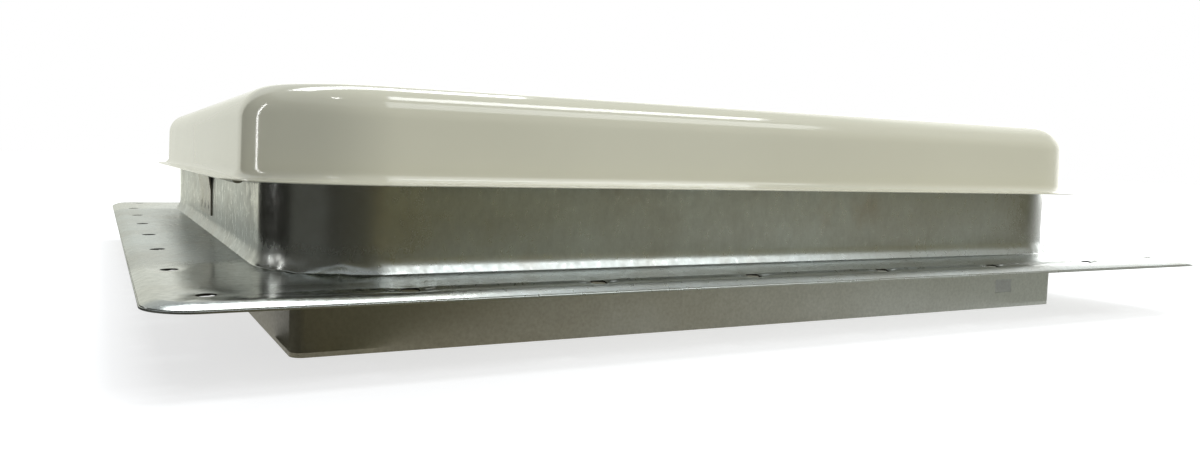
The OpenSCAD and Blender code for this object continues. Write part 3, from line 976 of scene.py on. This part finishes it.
    def plate_levels(self) -> list[tuple[float, float]]:
        """The levels of the plate across the front and rear crease.

        Returns:
            Distances outward of the crease, with the drop of the plate's face there.
        """
        first = self.flange_half - self.flange_ledge + self.foot_r - self.crease_half
        last = self.flange_half - self.rim_run - self.crease_half
        rolled = [(reach * MM, drop * MM) for reach, drop in self.levels]
        return [(first, 0.0)] + rolled + [(last, self.rim_dip)]

    def crease_lines(self) -> list[Points]:
        """Lines along the creases at the front and the rear, which stop short of the screw holes.

        Returns:
            The points of each line, x and y.
        """
        lines = []
        margin = self.hole_r + self.sheet
        row = [x for x, y in self.hole_centers() if abs(y + self.flange_half - self.hole_inset) < 1e-6]
        beside = [x + way * margin for x in sorted(row) for way in (-1, 1)]
        stops = [-self.crease_end] + beside + [self.crease_end]
        for reach, _ in self.plate_levels()[1:-1]:
            y = self.crease_half + reach
            near_holes = abs(y - self.flange_half + self.hole_inset) < margin
            spans = zip(stops[::2], stops[1::2]) if near_holes else [(stops[0], stops[-1])]
            for start, end in spans:
                xs = np.linspace(start, end, 2 + int((end - start) / (5 * MM)))
                lines += [np.column_stack([xs, np.full(len(xs), way * y)]) for way in (-1, 1)]
        return lines

    def plate_drop(self, points: Points) -> tuple[Points, Points]:
        """The rolled levels of the plate.

        Args:
            points: points of the plate, x and y.

        Returns:
            How far its upper face lies down, and 1 where its lower face follows, else 0.
        """
        first = self.flange_half - self.flange_ledge + self.foot_r - self.level_half
        last = self.flange_half - self.rim_run - self.level_half
        reach = out_by(points, self.level_r, self.level_half)
        plain = self.rim_dip * np.clip((reach - first) / (last - first), 0, 1) ** 2
        x, y = np.abs(points).T
        along, drops = zip(*self.plate_levels())
        rolled = np.interp(y - self.crease_half, along, drops)
        share = np.clip((self.crease_end - x) / self.crease_fade, 0, 1) * (y > x)
        return plain + share ** 2 * (3 - 2 * share) * (rolled - plain), (reach > 3 * MM).astype(float)

    def waves(self, points: Points) -> Points:
        """Slow unevenness of the plate, always downward, that fades out at its edges.

        Args:
            points: points of the plate.

        Returns:
            The drop at each.
        """
        away = np.abs(points).max(axis=1)
        curb_half = self.flange_half - self.flange_ledge
        first, last = curb_half + self.foot_r, self.flange_half - self.rim_run
        share = np.clip((away - first) / (last - first), 0, 1)
        return np.sin(math.pi * share) * (self.plate_wave + slow_wave(points, self.plate_wave, 5.0))


def out_by(points: Points, corner_r: float, half: float) -> Points:
    """Distance of points outward of a square with round corners."""
    away = np.abs(points) - (half - corner_r)
    return np.hypot(*away.clip(0).T) + away.max(axis=1).clip(None, 0) - corner_r


def weld(piece: Object, distance: float) -> None:
    """Joins points that lie together, turns the faces outward and marks the sharp edges.

    Args:
        piece: the piece.
        distance: how near the points have to be, in metres.
    """
    mesh = piece.data
    work = bmesh.new()
    work.from_mesh(mesh)
    bmesh.ops.remove_doubles(work, verts=work.verts, dist=distance)
    bmesh.ops.recalc_face_normals(work, faces=work.faces)
    work.to_mesh(mesh)
    work.free()
    mesh.shade_smooth()
    mesh.set_sharp_from_angle(angle=math.radians(SHARP))
    mesh.update()


@dataclass
class Lid:
    """The painted lid: lip, drafted skirt, shoulder and a top with two crossed ribs."""

    finishes: Finishes
    sheet: float = 0.6 * MM
    lid_r: float = 41 * MM
    shoulder_r: float = 11 * MM
    lip_bend_r: float = 3.5 * MM
    lip_out: float = 6 * MM
    lip_cut: float = 0.09 * MM
    lean: float = 0.398 * MM
    rib_h: float = 3.6 * MM
    rib_half_w: float = 26 * MM
    rib_inset: float = 44 * MM
    top_rings: int = 46
    bow: float = 0.14 * MM
    low_z: float = field(init=False)
    top_z: float = field(init=False)
    half: float = field(init=False)

    def __post_init__(self) -> None:
        """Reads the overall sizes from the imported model."""
        low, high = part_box("lid_shell")
        self.low_z = low.z
        self.top_z = high.z - self.rib_h
        self.half = high.x - self.lip_out

    def rib_height(self, points: Points) -> Points:
        """Height of the crossed ribs above the flat of the top.

        Args:
            points: points of the top.

        Returns:
            The height at each.
        """
        rise = np.ones(len(points))
        reach = self.half - self.rib_inset
        for sign in (-1.0, 1.0):
            along = (points[:, 0] + sign * points[:, 1]) / math.sqrt(2)
            across = (points[:, 0] - sign * points[:, 1]) / math.sqrt(2)
            over = (np.abs(along) - reach * math.sqrt(2)).clip(0)
            away = np.hypot(across, over) / self.rib_half_w
            rise *= 1 - np.cos(0.5 * math.pi * away.clip(0, 1)) ** 2
        return self.rib_h * (1 - rise)

    def skin(self, inset: float) -> list[tuple[float, float]]:
        """Section of one face from the flat of the top to the end of the lip.

        Args:
            inset: 0 for the outer face, the sheet's thickness for the inner one.

        Returns:
            Points of x outward of the corner centres and z.
        """
        foot = self.low_z + self.sheet + self.lip_bend_r
        shoulder = self.top_z - self.shoulder_r
        flat_r = self.lid_r - self.lean - self.shoulder_r
        path = arc((flat_r, shoulder), self.shoulder_r - inset, 90, 0, 20)
        for share in np.linspace(0, 1, 8)[1:-1]:
            path.append((self.lid_r - inset - self.lean * (1 - share), shoulder + (foot - shoulder) * share))
        path += arc((self.lid_r + self.lip_bend_r, foot), self.lip_bend_r + inset, 180, 270, 8)
        return path

    def build(self) -> Object:
        """Builds the lid as one closed sheet.

        Returns:
            The piece.
        """
        square = Square(self.half - self.lid_r, 32, 60)
        _, ways = square.stations()
        lip_end = self.lid_r + self.lip_out
        edge = self.sheet / 2
        outer, inner = self.skin(0.0), self.skin(self.sheet)
        high_z = self.low_z + self.sheet
        lip = [(lip_end - edge, high_z), (lip_end - self.lip_cut, high_z - self.lip_cut),
               (lip_end, self.low_z + edge), (lip_end - self.lip_cut, self.low_z + self.lip_cut),
               (lip_end - edge, self.low_z)]
        path = outer + lip + inner[::-1]
        rings = []
        for x, z in path:
            ring = square.ring(x, z)
            depth = np.clip((self.top_z - z) / (self.top_z - self.low_z), 0, 1)
            bow = math.sin(math.pi * depth) * slow_wave(ring, self.bow, 1.0)
            ring[:, :2] -= ways * np.abs(bow)[:, None]
            rings.append(ring)
        shrink = np.linspace(1, 0, self.top_rings + 1)[1:-1]
        top = [rings[0] * [s, s, 1] for s in shrink]
        under = [rings[-1] * [s, s, 1] for s in shrink]
        stack = top[::-1] + rings + under
        for ring in stack[:len(top) + 1] + stack[-len(under) - 1:]:
            ring[:, 2] += self.rib_height(ring)
        size = len(rings[0])
        points = np.concatenate(stack)
        faces = bridge(len(stack), size)
        last = (len(stack) - 1) * size
        crown = self.rib_h + self.top_z
        points = np.vstack([points, [[0, 0, crown], [0, 0, crown - self.sheet]]])
        tip = len(points) - 2
        faces += [(tip, (k + 1) % size, k) for k in range(size)]
        faces += [(tip + 1, last + k, last + (k + 1) % size) for k in range(size)]
        piece = make_object("lid_sheet", points, faces, self.finishes.enamel)
        weld(piece, 0.002 * MM)
        return put(piece, Body.LID, "lid_shell")


@dataclass
class Seal:
    """The foam seal under the lid, a soft D section running round as one closed ring."""

    finishes: Finishes
    corner: float = 29.3 * MM
    width: float = 8 * MM
    round_r: float = 2.6 * MM
    sag: float = 0.3 * MM

    def build(self) -> Object:
        """Builds the seal inside the space of its node.

        Returns:
            The piece.
        """
        low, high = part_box("lid_seal")
        square = Square(high.x - self.corner, 14, 40)
        inside, height = self.corner - self.width, high.z - low.z
        path = [(inside, high.z)]
        path += arc((inside + self.round_r, low.z + self.round_r), self.round_r, 180, 270, 5)
        path += arc((self.corner - self.round_r, low.z + self.round_r), self.round_r, 270, 360, 5)
        path += [(self.corner, low.z + height * 0.7), (self.corner - 0.25 * MM, high.z)]
        rings = [square.ring(x, z) for x, z in path]
        for ring, (x, z) in zip(rings, path):
            ring[:, 2] += max(0.0, 1 - (z - low.z) / height) * np.abs(slow_wave(ring, self.sag, 3.0))
        piece = make_object("foam_seal", np.concatenate(rings), bridge(len(rings), len(rings[0]), True),
                            self.finishes.foam, sharp=50.0)
        weld(piece, 0.002 * MM)
        return put(piece, Body.LID, "lid_seal")


@dataclass
class Screen:
    """The insect screen: woven wires in two layers, and the spline that holds them."""

    finishes: Finishes
    pitch: float = 1.7 * MM
    wire_r: float = 0.14 * MM
    sides: int = 5
    shaft_gap: float = 6 * MM
    spline_w: float = 3.2 * MM
    spline_corner: float = 2.4 * MM

    def wires(self, shaft: tuple[float, float]) -> Object:
        """Builds all wires as one mesh, cut short round the crank shaft.

        Args:
            shaft: the x and y of the shaft's middle.

        Returns:
            The piece.
        """
        low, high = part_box("screen_mesh")
        middle = (low.z + high.z) / 2
        spots = np.arange(low.x + self.pitch, high.x - self.pitch / 2, self.pitch)
        turn = np.linspace(0, 2 * math.pi, self.sides, endpoint=False)
        circle = self.wire_r * np.column_stack([np.cos(turn), np.sin(turn)])
        points, faces = [], []
        for axis in (0, 1):
            lift = (self.wire_r if axis else -self.wire_r) * 0.9
            for spot in spots:
                for first, last in self.runs(spot, shaft, axis, low.x, high.x):
                    start = len(points)
                    for end in (first, last):
                        for across, up in circle:
                            place = [end, spot + across] if axis == 0 else [spot + across, end]
                            points.append((*place, middle + lift + up))
                    faces += [tuple(start + k for k in face) for face in bridge(2, self.sides)]
                    faces.append(tuple(range(start + self.sides - 1, start - 1, -1)))
                    faces.append(tuple(range(start + self.sides, start + 2 * self.sides)))
        piece = make_object("screen_wires", np.array(points), faces, self.finishes.wire)
        return put(piece, Body.BASE, "screen_mesh")

    def runs(self, spot: float, shaft: tuple[float, float], axis: int, low: float,
             high: float) -> list[tuple[float, float]]:
        """The one or two stretches of a wire, which stops short of the shaft's hole.

        Args:
            spot: where the wire lies across its own direction.
            shaft: the x and y of the shaft's middle.
            axis: 0 for a wire along x, 1 for one along y.
            low: where the wire starts.
            high: where it ends.

        Returns:
            Start and end of each stretch.
        """
        across = spot - shaft[1 - axis]
        if abs(across) >= self.shaft_gap:
            return [(low, high)]
        room = math.sqrt(self.shaft_gap ** 2 - across ** 2)
        return [(low, shaft[axis] - room), (shaft[axis] + room, high)]

    def spline(self) -> Object:
        """Builds the rubber spline as a ribbed cord pressed into the frame.

        Returns:
            The piece.
        """
        low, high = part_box("screen_spline")
        corner, middle = self.spline_corner, (low.z + high.z) / 2
        square = Square(high.x - self.spline_w / 2 - corner, 6, 90)
        radius = (high.z - low.z) / 2
        path = [(corner + 1.25 * radius * math.cos(a), middle + radius * math.sin(a))
                for a in np.linspace(0, 2 * math.pi, 12, endpoint=False)]
        rings = [square.ring(x, z) for x, z in path]
        piece = make_object("spline_cord", np.concatenate(rings), bridge(len(rings), len(rings[0]), True),
                            self.finishes.rubber, sharp=60.0)
        weld(piece, 0.002 * MM)
        return put(piece, Body.BASE, "screen_spline")

    def build(self, nodes: dict) -> None:
        """Builds the wires and the spline, and dresses the frame.

        Args:
            nodes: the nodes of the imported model.
        """
        low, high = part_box("crank_shaft")
        self.wires(((low.x + high.x) / 2, (low.y + high.y) / 2))
        self.spline()
        dress(nodes, "screen_frame", self.finishes.aluminium)


def dress(nodes: dict, name: str, material: Material) -> None:
    """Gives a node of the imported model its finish.

    Args:
        nodes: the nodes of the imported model.
        name: which node.
        material: its finish.
    """
    mesh = nodes[name].data
    mesh.materials.clear()
    mesh.materials.append(material)
    LOG.info("node %s wears %s", name, material.name)


def lathe(name: str, profile: Sequence[tuple[float, float]], axis: Matrix, sides: int,
          material: Material) -> Object:
    """A turned piece.

    Args:
        name: name of the piece.
        profile: radius and height of each point, the first and last on the axis.
        axis: places the turned piece, whose own axis is Z.
        sides: steps round the axis.
        material: its finish.

    Returns:
        The object.
    """
    turn = np.linspace(0, 2 * math.pi, sides, endpoint=False)
    inner = profile[1:-1]
    points = [(r * math.cos(a), r * math.sin(a), z) for r, z in inner for a in turn]
    faces = bridge(len(inner), sides)
    points += [(0, 0, profile[0][1]), (0, 0, profile[-1][1])]
    last, tip = (len(inner) - 1) * sides, len(inner) * sides
    faces += [(tip, (k + 1) % sides, k) for k in range(sides)]
    faces += [(tip + 1, last + k, last + (k + 1) % sides) for k in range(sides)]
    placed = [axis @ Vector(p) for p in points]
    piece = make_object(name, np.array([tuple(p) for p in placed]), faces, material)
    weld(piece, 0.0005 * MM)
    return piece


def rivet_profile(radius: float, height: float) -> list[tuple[float, float]]:
    """Profile of a low dome head, from its foot up to its top."""
    dome = [(radius * math.cos(a), height * math.sin(a)) for a in np.radians(np.linspace(0, 80, 6))]
    return [(0.0, -0.1 * MM), (radius, -0.1 * MM), *dome, (0.0, height)]


def heads(name: str, spots: Sequence[Sequence[float]], turn: Matrix, size: tuple[float, float],
          material: Material, sides: int = 24) -> Object:
    """Low dome heads of one kind, as one piece.

    Args:
        name: name of the piece.
        spots: the middle of each head's foot.
        turn: turns the heads, which rise along Z, to where they point.
        size: radius and height of a head.
        material: its finish.
        sides: steps round a head.

    Returns:
        The piece.
    """
    profile = rivet_profile(*size)
    parts = [lathe(name, profile, Matrix.Translation(spot) @ turn, sides, material) for spot in spots]
    with bpy.context.temp_override(active_object=parts[0], selected_editable_objects=parts):
        bpy.ops.object.join()
    parts[0].name = name
    return parts[0]


@dataclass
class Hinge:
    """Rod, bracket and leaves, with the weld marks that hold bracket and leaves."""

    finishes: Finishes
    bracket_sheet: float = 0.7 * MM
    mark: tuple[float, float] = (2.2 * MM, 0.25 * MM)
    mark_step: float = 14 * MM
    mark_rise: float = 4 * MM

    def build(self, nodes: dict) -> None:
        """Dresses the hinge and adds the weld marks on the bracket.

        Args:
            nodes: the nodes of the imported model.
        """
        for name in ("hinge_rod", "hinge_bracket", "hinge_leaf_front", "hinge_leaf_rear"):
            dress(nodes, name, self.finishes.plated)
        low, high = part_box("hinge_bracket")
        face = high.x - self.bracket_sheet
        spots = [(face, way * self.mark_step, low.z + self.mark_rise) for way in (-1, 0, 1)]
        turn = Matrix.Rotation(-math.pi / 2, 4, "Y")
        marks = heads("bracket_weld_marks", spots, turn, self.mark, self.finishes.plated, 20)
        put(marks, Body.BASE)


@dataclass
class Lift:
    """Rail, arm, shaft, slot pin and bushes."""

    finishes: Finishes
    rivet: tuple[float, float] = (2.6 * MM, 1.2 * MM)
    rivet_inset: tuple[float, float] = (8 * MM, 4 * MM)
    rail_sheet: float = 1.5 * MM

    def build(self, nodes: dict) -> None:
        """Dresses the lift and adds the rivets that hold the rail.

        Args:
            nodes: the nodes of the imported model.
        """
        for name in ("lift_rail", "lift_arm", "arm_shaft", "slot_pin"):
            dress(nodes, name, self.finishes.plated)
        for name in ("slot_bush_front", "slot_bush_rear"):
            dress(nodes, name, self.finishes.nylon)
        low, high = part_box("lift_rail")
        along, across = self.rivet_inset
        spots = [(x, side * (high.y - across), high.z - self.rail_sheet)
                 for x in (low.x + along, high.x - along) for side in (-1, 1)]
        turn = Matrix.Rotation(math.pi, 4, "X")
        put(heads("rail_rivets", spots, turn, self.rivet, self.finishes.plated), Body.LID)


@dataclass
class Operator:
    """Bar, gear case, crank shaft and knob."""

    finishes: Finishes
    lobes: int = 8
    hollow: float = 0.13
    rim_h: float = 7.5 * MM
    hub_r: float = 9 * MM
    bore_r: float = 4.1 * MM
    bore_depth: float = 3 * MM
    dish: tuple = ((0.35, 0.9 * MM), (0.62, 0.55 * MM), (0.78, 0.05 * MM))
    edge: float = 1.6 * MM
    knob_steps: int = 160
    rivet: tuple[float, float] = (2.4 * MM, 1.1 * MM)
    rivet_inset: tuple[float, float] = (9 * MM, 3.2 * MM)
    bar_sheet: float = 1.5 * MM

    def knob(self) -> Object:
        """Builds the knob with soft finger hollows and a capped hub.

        Returns:
            The piece.
        """
        low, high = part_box("crank_knob")
        radius, top = (high.y - low.y) / 2, high.z - low.z
        turn = np.linspace(0, 2 * math.pi, self.knob_steps, endpoint=False)
        circle = np.column_stack([np.cos(turn), np.sin(turn), np.zeros(self.knob_steps)])
        outline = radius * (1 - self.hollow * (0.5 + 0.5 * np.cos(self.lobes * turn)) ** 3)
        rings = [circle * (outline * share)[:, None] + (0, 0, z) for share, z in self.dish]
        round_off = [(1.0, 0.0), (0.5, 0.13), (0.13, 0.5), (0.0, 1.0)]
        sides = [(inset, rise * self.edge) for inset, rise in round_off]
        sides += [(inset, self.rim_h - rise * self.edge) for inset, rise in round_off[::-1]]
        rings += [circle * (outline - inset * self.edge)[:, None] + (0, 0, z) for inset, z in sides]
        for r, z in ((self.hub_r + 2 * MM, self.rim_h), (self.hub_r + 0.6 * MM, self.rim_h + 0.4 * MM),
                     (self.hub_r, self.rim_h + 1.6 * MM), (self.hub_r, top - 0.6 * MM),
                     (self.hub_r - 0.6 * MM, top), (self.bore_r, top), (self.bore_r, top - self.bore_depth)):
            rings.append(circle * r + (0, 0, z))
        middle = ((low.x + high.x) / 2, (low.y + high.y) / 2, low.z)
        faces = bridge(len(rings), self.knob_steps)
        faces.append(tuple(range(self.knob_steps - 1, -1, -1)))
        faces.append(tuple(range((len(rings) - 1) * self.knob_steps, len(rings) * self.knob_steps)))
        piece = make_object("knob_moulding", np.concatenate(rings) + middle, faces, self.finishes.knob)
        weld(piece, 0.0005 * MM)
        return put(piece, Body.CRANK, "crank_knob")

    def build(self, nodes: dict) -> None:
        """Dresses bar, case and shaft, and adds the knob and the rivets of the bar.

        Args:
            nodes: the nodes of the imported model.
        """
        dress(nodes, "operator_bar", self.finishes.plated)
        dress(nodes, "operator_housing", self.finishes.housing)
        dress(nodes, "crank_shaft", self.finishes.plated)
        self.knob()
        low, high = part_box("operator_bar")
        across, along = self.rivet_inset
        spots = [(x, y, self.bar_sheet) for x in (low.x + across, high.x - across)
                 for y in (low.y + along, high.y - along)]
        rivets = heads("bar_rivets", spots, Matrix.Identity(4), self.rivet, self.finishes.plated)
        put(rivets, Body.BASE)


@dataclass(frozen=True)
class PhotoView:
    """The photograph's camera, worked out from its vanishing points."""

    place: tuple[float, float, float] = (-0.2309, -0.4462, 0.0374)
    right: tuple[float, float, float] = (0.8977, -0.4396, 0.0284)
    forward: tuple[float, float, float] = (0.4405, 0.8947, -0.0747)
    focal_px: float = 950.4
    width_px: float = 1200.0
    sensor: float = 36.0
    framing: float = 0.93
    shift_px: float = 68.0

    def build(self) -> Object:
        """Makes the camera and hands it to the scene.

        Returns:
            The camera.
        """
        data = bpy.data.cameras.new("photo_camera")
        data.sensor_width = self.sensor
        data.lens = self.focal_px * self.framing / self.width_px * self.sensor
        data.shift_x = self.shift_px / self.width_px
        data.clip_start = 0.01
        data.dof.use_dof = False
        forward = Vector(self.forward).normalized()
        right = Vector(self.right)
        right = (right - right.dot(forward) * forward).normalized()
        up = right.cross(forward)
        pose = Matrix((right, up, -forward)).transposed().to_4x4()
        pose.translation = Vector(self.place)
        camera = bpy.data.objects.new("photo_camera", data)
        camera.matrix_world = pose
        bpy.context.scene.collection.objects.link(camera)
        bpy.context.scene.camera = camera
        return camera


@dataclass(frozen=True)
class Lamp:
    """A soft rectangular lamp aimed at a point."""

    name: str
    place: tuple[float, float, float]
    aim: tuple[float, float, float]
    size: tuple[float, float]
    power: float
    color: Color = (1.0, 1.0, 1.0)
    in_gloss: bool = True

    def build(self) -> Object:
        """Makes the lamp.

        Returns:
            The lamp.
        """
        data = bpy.data.lights.new(self.name, "AREA")
        data.shape = "RECTANGLE"
        data.size, data.size_y = self.size
        data.energy = self.power
        data.color = self.color
        lamp = bpy.data.objects.new(self.name, data)
        way = Vector(self.aim) - Vector(self.place)
        turn = way.to_track_quat("-Z", "Y").to_matrix().to_4x4()
        lamp.matrix_world = Matrix.Translation(self.place) @ turn
        lamp.visible_camera = False
        lamp.visible_glossy = self.in_gloss
        bpy.context.scene.collection.objects.link(lamp)
        return lamp


BEHIND: Plan = ((-180, (0.10, 0.10, 0.088)), (-150, (0.10, 0.10, 0.088)), (-138, (0.06, 0.058, 0.048)),
                (-104, (0.08, 0.076, 0.055)))
FRONT: Plan = ((-88, (0.12, 0.105, 0.06)), (-71, (0.18, 0.168, 0.096)), (-64, (0.232, 0.218, 0.133)),
               (-57, (0.295, 0.29, 0.215)), (-47, (0.30, 0.295, 0.225)), (-37, (0.27, 0.25, 0.16)),
               (-32, (0.18, 0.172, 0.10)))
SHADE: Color = (0.03, 0.03, 0.026)
WHITE = (1.0, 1.0, 1.0, 1.0)


@dataclass
class Studio:
    """Pale floor, pale surroundings, soft lamps, and dark boards that only gloss shows.

    The plans give the boards' colours by compass angle in degrees, from +X towards +Y.
    """

    floor_half: float = 8.0
    board_r: float = 2.6
    board_near: float = 0.235
    corner: tuple[float, float, float] = (-0.17, -0.17, 0.0)
    roof: Color = (0.19, 0.20, 0.205)
    daylight: float = 0.37
    mat_near: Plan = BEHIND + (
        (-88, (0.16, 0.145, 0.09)), (-76, (0.19, 0.175, 0.11)), (-68, (0.15, 0.142, 0.09)),
        (-60, (0.14, 0.136, 0.09)), (-47, (0.21, 0.21, 0.16)), (-37, (0.32, 0.32, 0.27)),
        (-30, (0.52, 0.52, 0.47)), (-18, (0.55, 0.55, 0.50)), (15, (0.7, 0.72, 0.7)), (70, (0.8, 0.82, 0.82)),
        (88, (0.75, 0.76, 0.68)), (104, (0.68, 0.69, 0.60)), (109, SHADE), (168, SHADE),
        (176, (0.10, 0.10, 0.088)))
    mat_far: Plan = BEHIND + FRONT + (
        (-24, (0.10, 0.095, 0.06)), (10, (0.8, 0.8, 0.78)), (70, (1.2, 1.2, 1.14)), (90, (1.05, 1.06, 0.92)),
        (104, (1.05, 1.06, 0.90)), (109, SHADE), (168, SHADE), (176, (0.10, 0.10, 0.088)))
    wall_low: Plan = BEHIND + FRONT + (
        (-10, (0.40, 0.40, 0.37)), (15, (2.8, 2.84, 2.8)), (68, (2.8, 2.84, 2.8)), (77, (1.7, 1.72, 1.7)),
        (83, (1.0, 1.01, 0.95)), (90, (0.80, 0.81, 0.72)), (112, (0.78, 0.79, 0.70)), (116, SHADE),
        (170, SHADE), (178, (0.10, 0.10, 0.088)))
    wall_high: Plan = (
        (-180, (0.10, 0.10, 0.088)), (-138, (0.06, 0.058, 0.048)), (-90, (0.16, 0.148, 0.09)),
        (-45, (0.33, 0.325, 0.25)), (-10, (0.40, 0.41, 0.40)), (20, (1.2, 1.22, 1.2)), (74, (1.2, 1.22, 1.2)),
        (86, (0.62, 0.64, 0.62)), (112, (0.6, 0.62, 0.60)), (118, (0.10, 0.10, 0.09)),
        (178, (0.12, 0.12, 0.11)))

    def floor(self, level: float) -> None:
        """Lays a white floor that keeps a soft shadow.

        Args:
            level: its height.
        """
        tree = Tree("studio_floor")
        seen = tree.seen()
        away = tree.vector("LENGTH", tree.vector("MULTIPLY", tree.place(), (1.0, 1.0, 0.0)), out=1)
        plain = tree.add("BsdfDiffuse", {"Color": (0.55, 0.55, 0.54, 1.0)})
        shown = tree.add("BsdfDiffuse", {"Color": (0.5, 0.5, 0.5, 1.0)})
        strength = tree.span(away, 0.45, 1.3, 0.68, 1.0, smooth=True)
        glow = tree.add("Emission", {"Color": WHITE, "Strength": strength})
        both = tree.add("AddShader", {0: shown.outputs[0], 1: glow.outputs[0]})
        choice = tree.add("MixShader", {0: seen, 1: plain.outputs[0], 2: both.outputs[0]})
        tree.add("OutputMaterial", {"Surface": choice.outputs[0]})
        h = self.floor_half
        points = np.array([(-h, -h, level), (h, -h, level), (h, h, level), (-h, h, level)])
        plane = make_object("floor", points, [(0, 1, 2, 3)], tree.owner, smooth=False)

    def compass(self, tree: Tree) -> tuple[Socket, Socket, Socket]:
        """Compass angle of a point seen from the near corner, as a share of the way round.

        Args:
            tree: the material that asks.

        Returns:
            The share, the distance from the corner and the height.
        """
        corner = tree.vector("SUBTRACT", tree.place(), self.corner)
        parts = tree.add("SeparateXYZ", {0: corner})
        turn = tree.math("ARCTAN2", parts.outputs["Y"], parts.outputs["X"])
        away = tree.vector("LENGTH", tree.vector("MULTIPLY", corner, (1.0, 1.0, 0.0)), out=1)
        return tree.span(turn, -math.pi, math.pi), away, parts.outputs["Z"]

    def hidden_stage(self, name: str, profile: Sequence[tuple[float, float]], tree: Tree) -> None:
        """Turns a profile into a stage piece that only gloss shows.

        Args:
            name: name of the piece.
            profile: radius and height of its rings.
            tree: its material.
        """
        steps = 144
        angles = np.linspace(0, 2 * math.pi, steps, endpoint=False)
        circle = np.column_stack([np.cos(angles), np.sin(angles), np.zeros(steps)])
        rings = [circle * r + (0, 0, z) for r, z in profile]
        board = make_object(name, np.concatenate(rings), bridge(len(rings), steps), tree.owner)
        tree.owner.cycles.emission_sampling = "NONE"
        board.visible_camera = False
        board.visible_diffuse = False
        board.visible_shadow = False
        board.visible_transmission = False

    def mat(self, level: float) -> None:
        """Lays the dark mat round the vent, which is bright far out behind its left side.

        Args:
            level: the floor's height.
        """
        tree = Tree("studio_mat")
        share, away, _ = self.compass(tree)
        near, far = (tree.ramp(share, self.stops(plan)) for plan in (self.mat_near, self.mat_far))
        color = tree.mix(tree.span(away, 0.35, 0.9), near, far)
        glow = tree.add("Emission", {"Color": color, "Strength": 2.0})
        tree.add("OutputMaterial", {"Surface": glow.outputs[0]})
        height = level + 1.5 * MM
        rings = [(r, height) for r in (self.board_near, 0.6, 1.4, self.board_r)]
        self.hidden_stage("reflection_mat", rings, tree)

    def tent(self) -> None:
        """Stands the boards and the pale tent over them."""
        tree = Tree("studio_tent")
        share, _, height = self.compass(tree)
        low, middle = (tree.ramp(share, self.stops(plan)) for plan in (self.wall_low, self.wall_high))
        color = tree.mix(self.climb(tree, height, 17.0, 26.0), low, middle)
        color = tree.mix(self.climb(tree, height, 36.0, 45.0), color, self.roof)
        glow = tree.add("Emission", {"Color": color, "Strength": 2.0})
        tree.add("OutputMaterial", {"Surface": glow.outputs[0]})
        rises = np.radians(np.linspace(-0.5, 88.0, 24))
        profile = [(self.board_r * math.cos(rise), self.board_r * math.sin(rise)) for rise in rises]
        self.hidden_stage("reflection_tent", profile, tree)

    def climb(self, tree: Tree, height: Socket, low: float, high: float) -> Socket:
        """0 below one elevation of the tent and 1 above another, both in degrees."""
        ends = [self.board_r * math.sin(math.radians(rise)) for rise in (low, high)]
        return tree.span(height, *ends, smooth=True)

    def stops(self, plan: Plan) -> list[tuple[float, Color]]:
        """Turns angles in degrees from +X into stops of a ramp, and halves the colours."""
        return [((angle + 180.0) / 360.0, tuple(0.5 * c for c in color)) for angle, color in plan]

    def world(self) -> None:
        """Sets pale surroundings: white where seen, softer as light."""
        tree = Tree("studio_world", world=True)
        light = tree.add("Background", {"Color": (0.92, 0.96, 1.0, 1.0), "Strength": self.daylight})
        white = tree.add("Background", {"Color": WHITE})
        mix = tree.add("MixShader", {0: tree.seen(), 1: light.outputs[0], 2: white.outputs[0]})
        tree.add("OutputWorld", {"Surface": mix.outputs[0]})
        bpy.context.scene.world = tree.owner

    def lamps(self) -> None:
        """Hangs the lamps: two long soft boxes overhead and small ones for the corner highlights."""
        warm, cool = (1.0, 0.965, 0.90), (0.94, 0.975, 1.0)
        plan = (
            Lamp("overhead_front", (0.88, -0.56, 1.82), (0.88, -0.19, 0.05), (1.30, 0.40), 11.2, cool),
            Lamp("overhead_back", (0.02, 0.78, 1.58), (0.02, -0.19, 0.05), (1.46, 0.52), 14.6, cool),
            Lamp("front_box", (1.18, -1.27, 1.47), (1.18, -0.19, 0.03), (2.15, 0.60), 10.4, cool),
            Lamp("corner_glint", (-0.80, -0.51, 1.70), (-0.17, -0.17, 0.05), (0.20, 0.12), 0.9),
            Lamp("left_strip", (-1.67, 0.83, 0.50), (-0.18, -0.17, 0.04), (0.08, 0.90), 2.0),
            Lamp("front_right_fill", (0.95, -0.75, 0.45), (0.05, -0.19, 0.03), (0.7, 0.5), 3.0, warm, False),
        )
        for lamp in plan:
            lamp.build()

    def build(self) -> None:
        """Builds the whole studio."""
        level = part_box("throat_frame")[0].z
        self.world()
        self.floor(level - 0.05 * MM)
        self.mat(level)
        self.tent()
        self.lamps()


def main() -> None:
    """Builds the vent, its studio and its camera."""
    logging.basicConfig(level=logging.INFO, format="%(name)s: %(message)s")
    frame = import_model()
    nodes = frame["nodes"]
    bpy.context.scene.view_settings.view_transform = "Standard"
    PhotoView().build()
    finishes = Finishes()
    Base(finishes).build()
    dress(nodes, "throat_frame", finishes.throat)
    Lid(finishes).build()
    Seal(finishes).build()
    Hinge(finishes).build(nodes)
    Lift(finishes).build(nodes)
    Operator(finishes).build(nodes)
    Screen(finishes).build(nodes)
    Studio().build()
    LOG.info("boxes written")


if __name__ == "__main__":
    main()
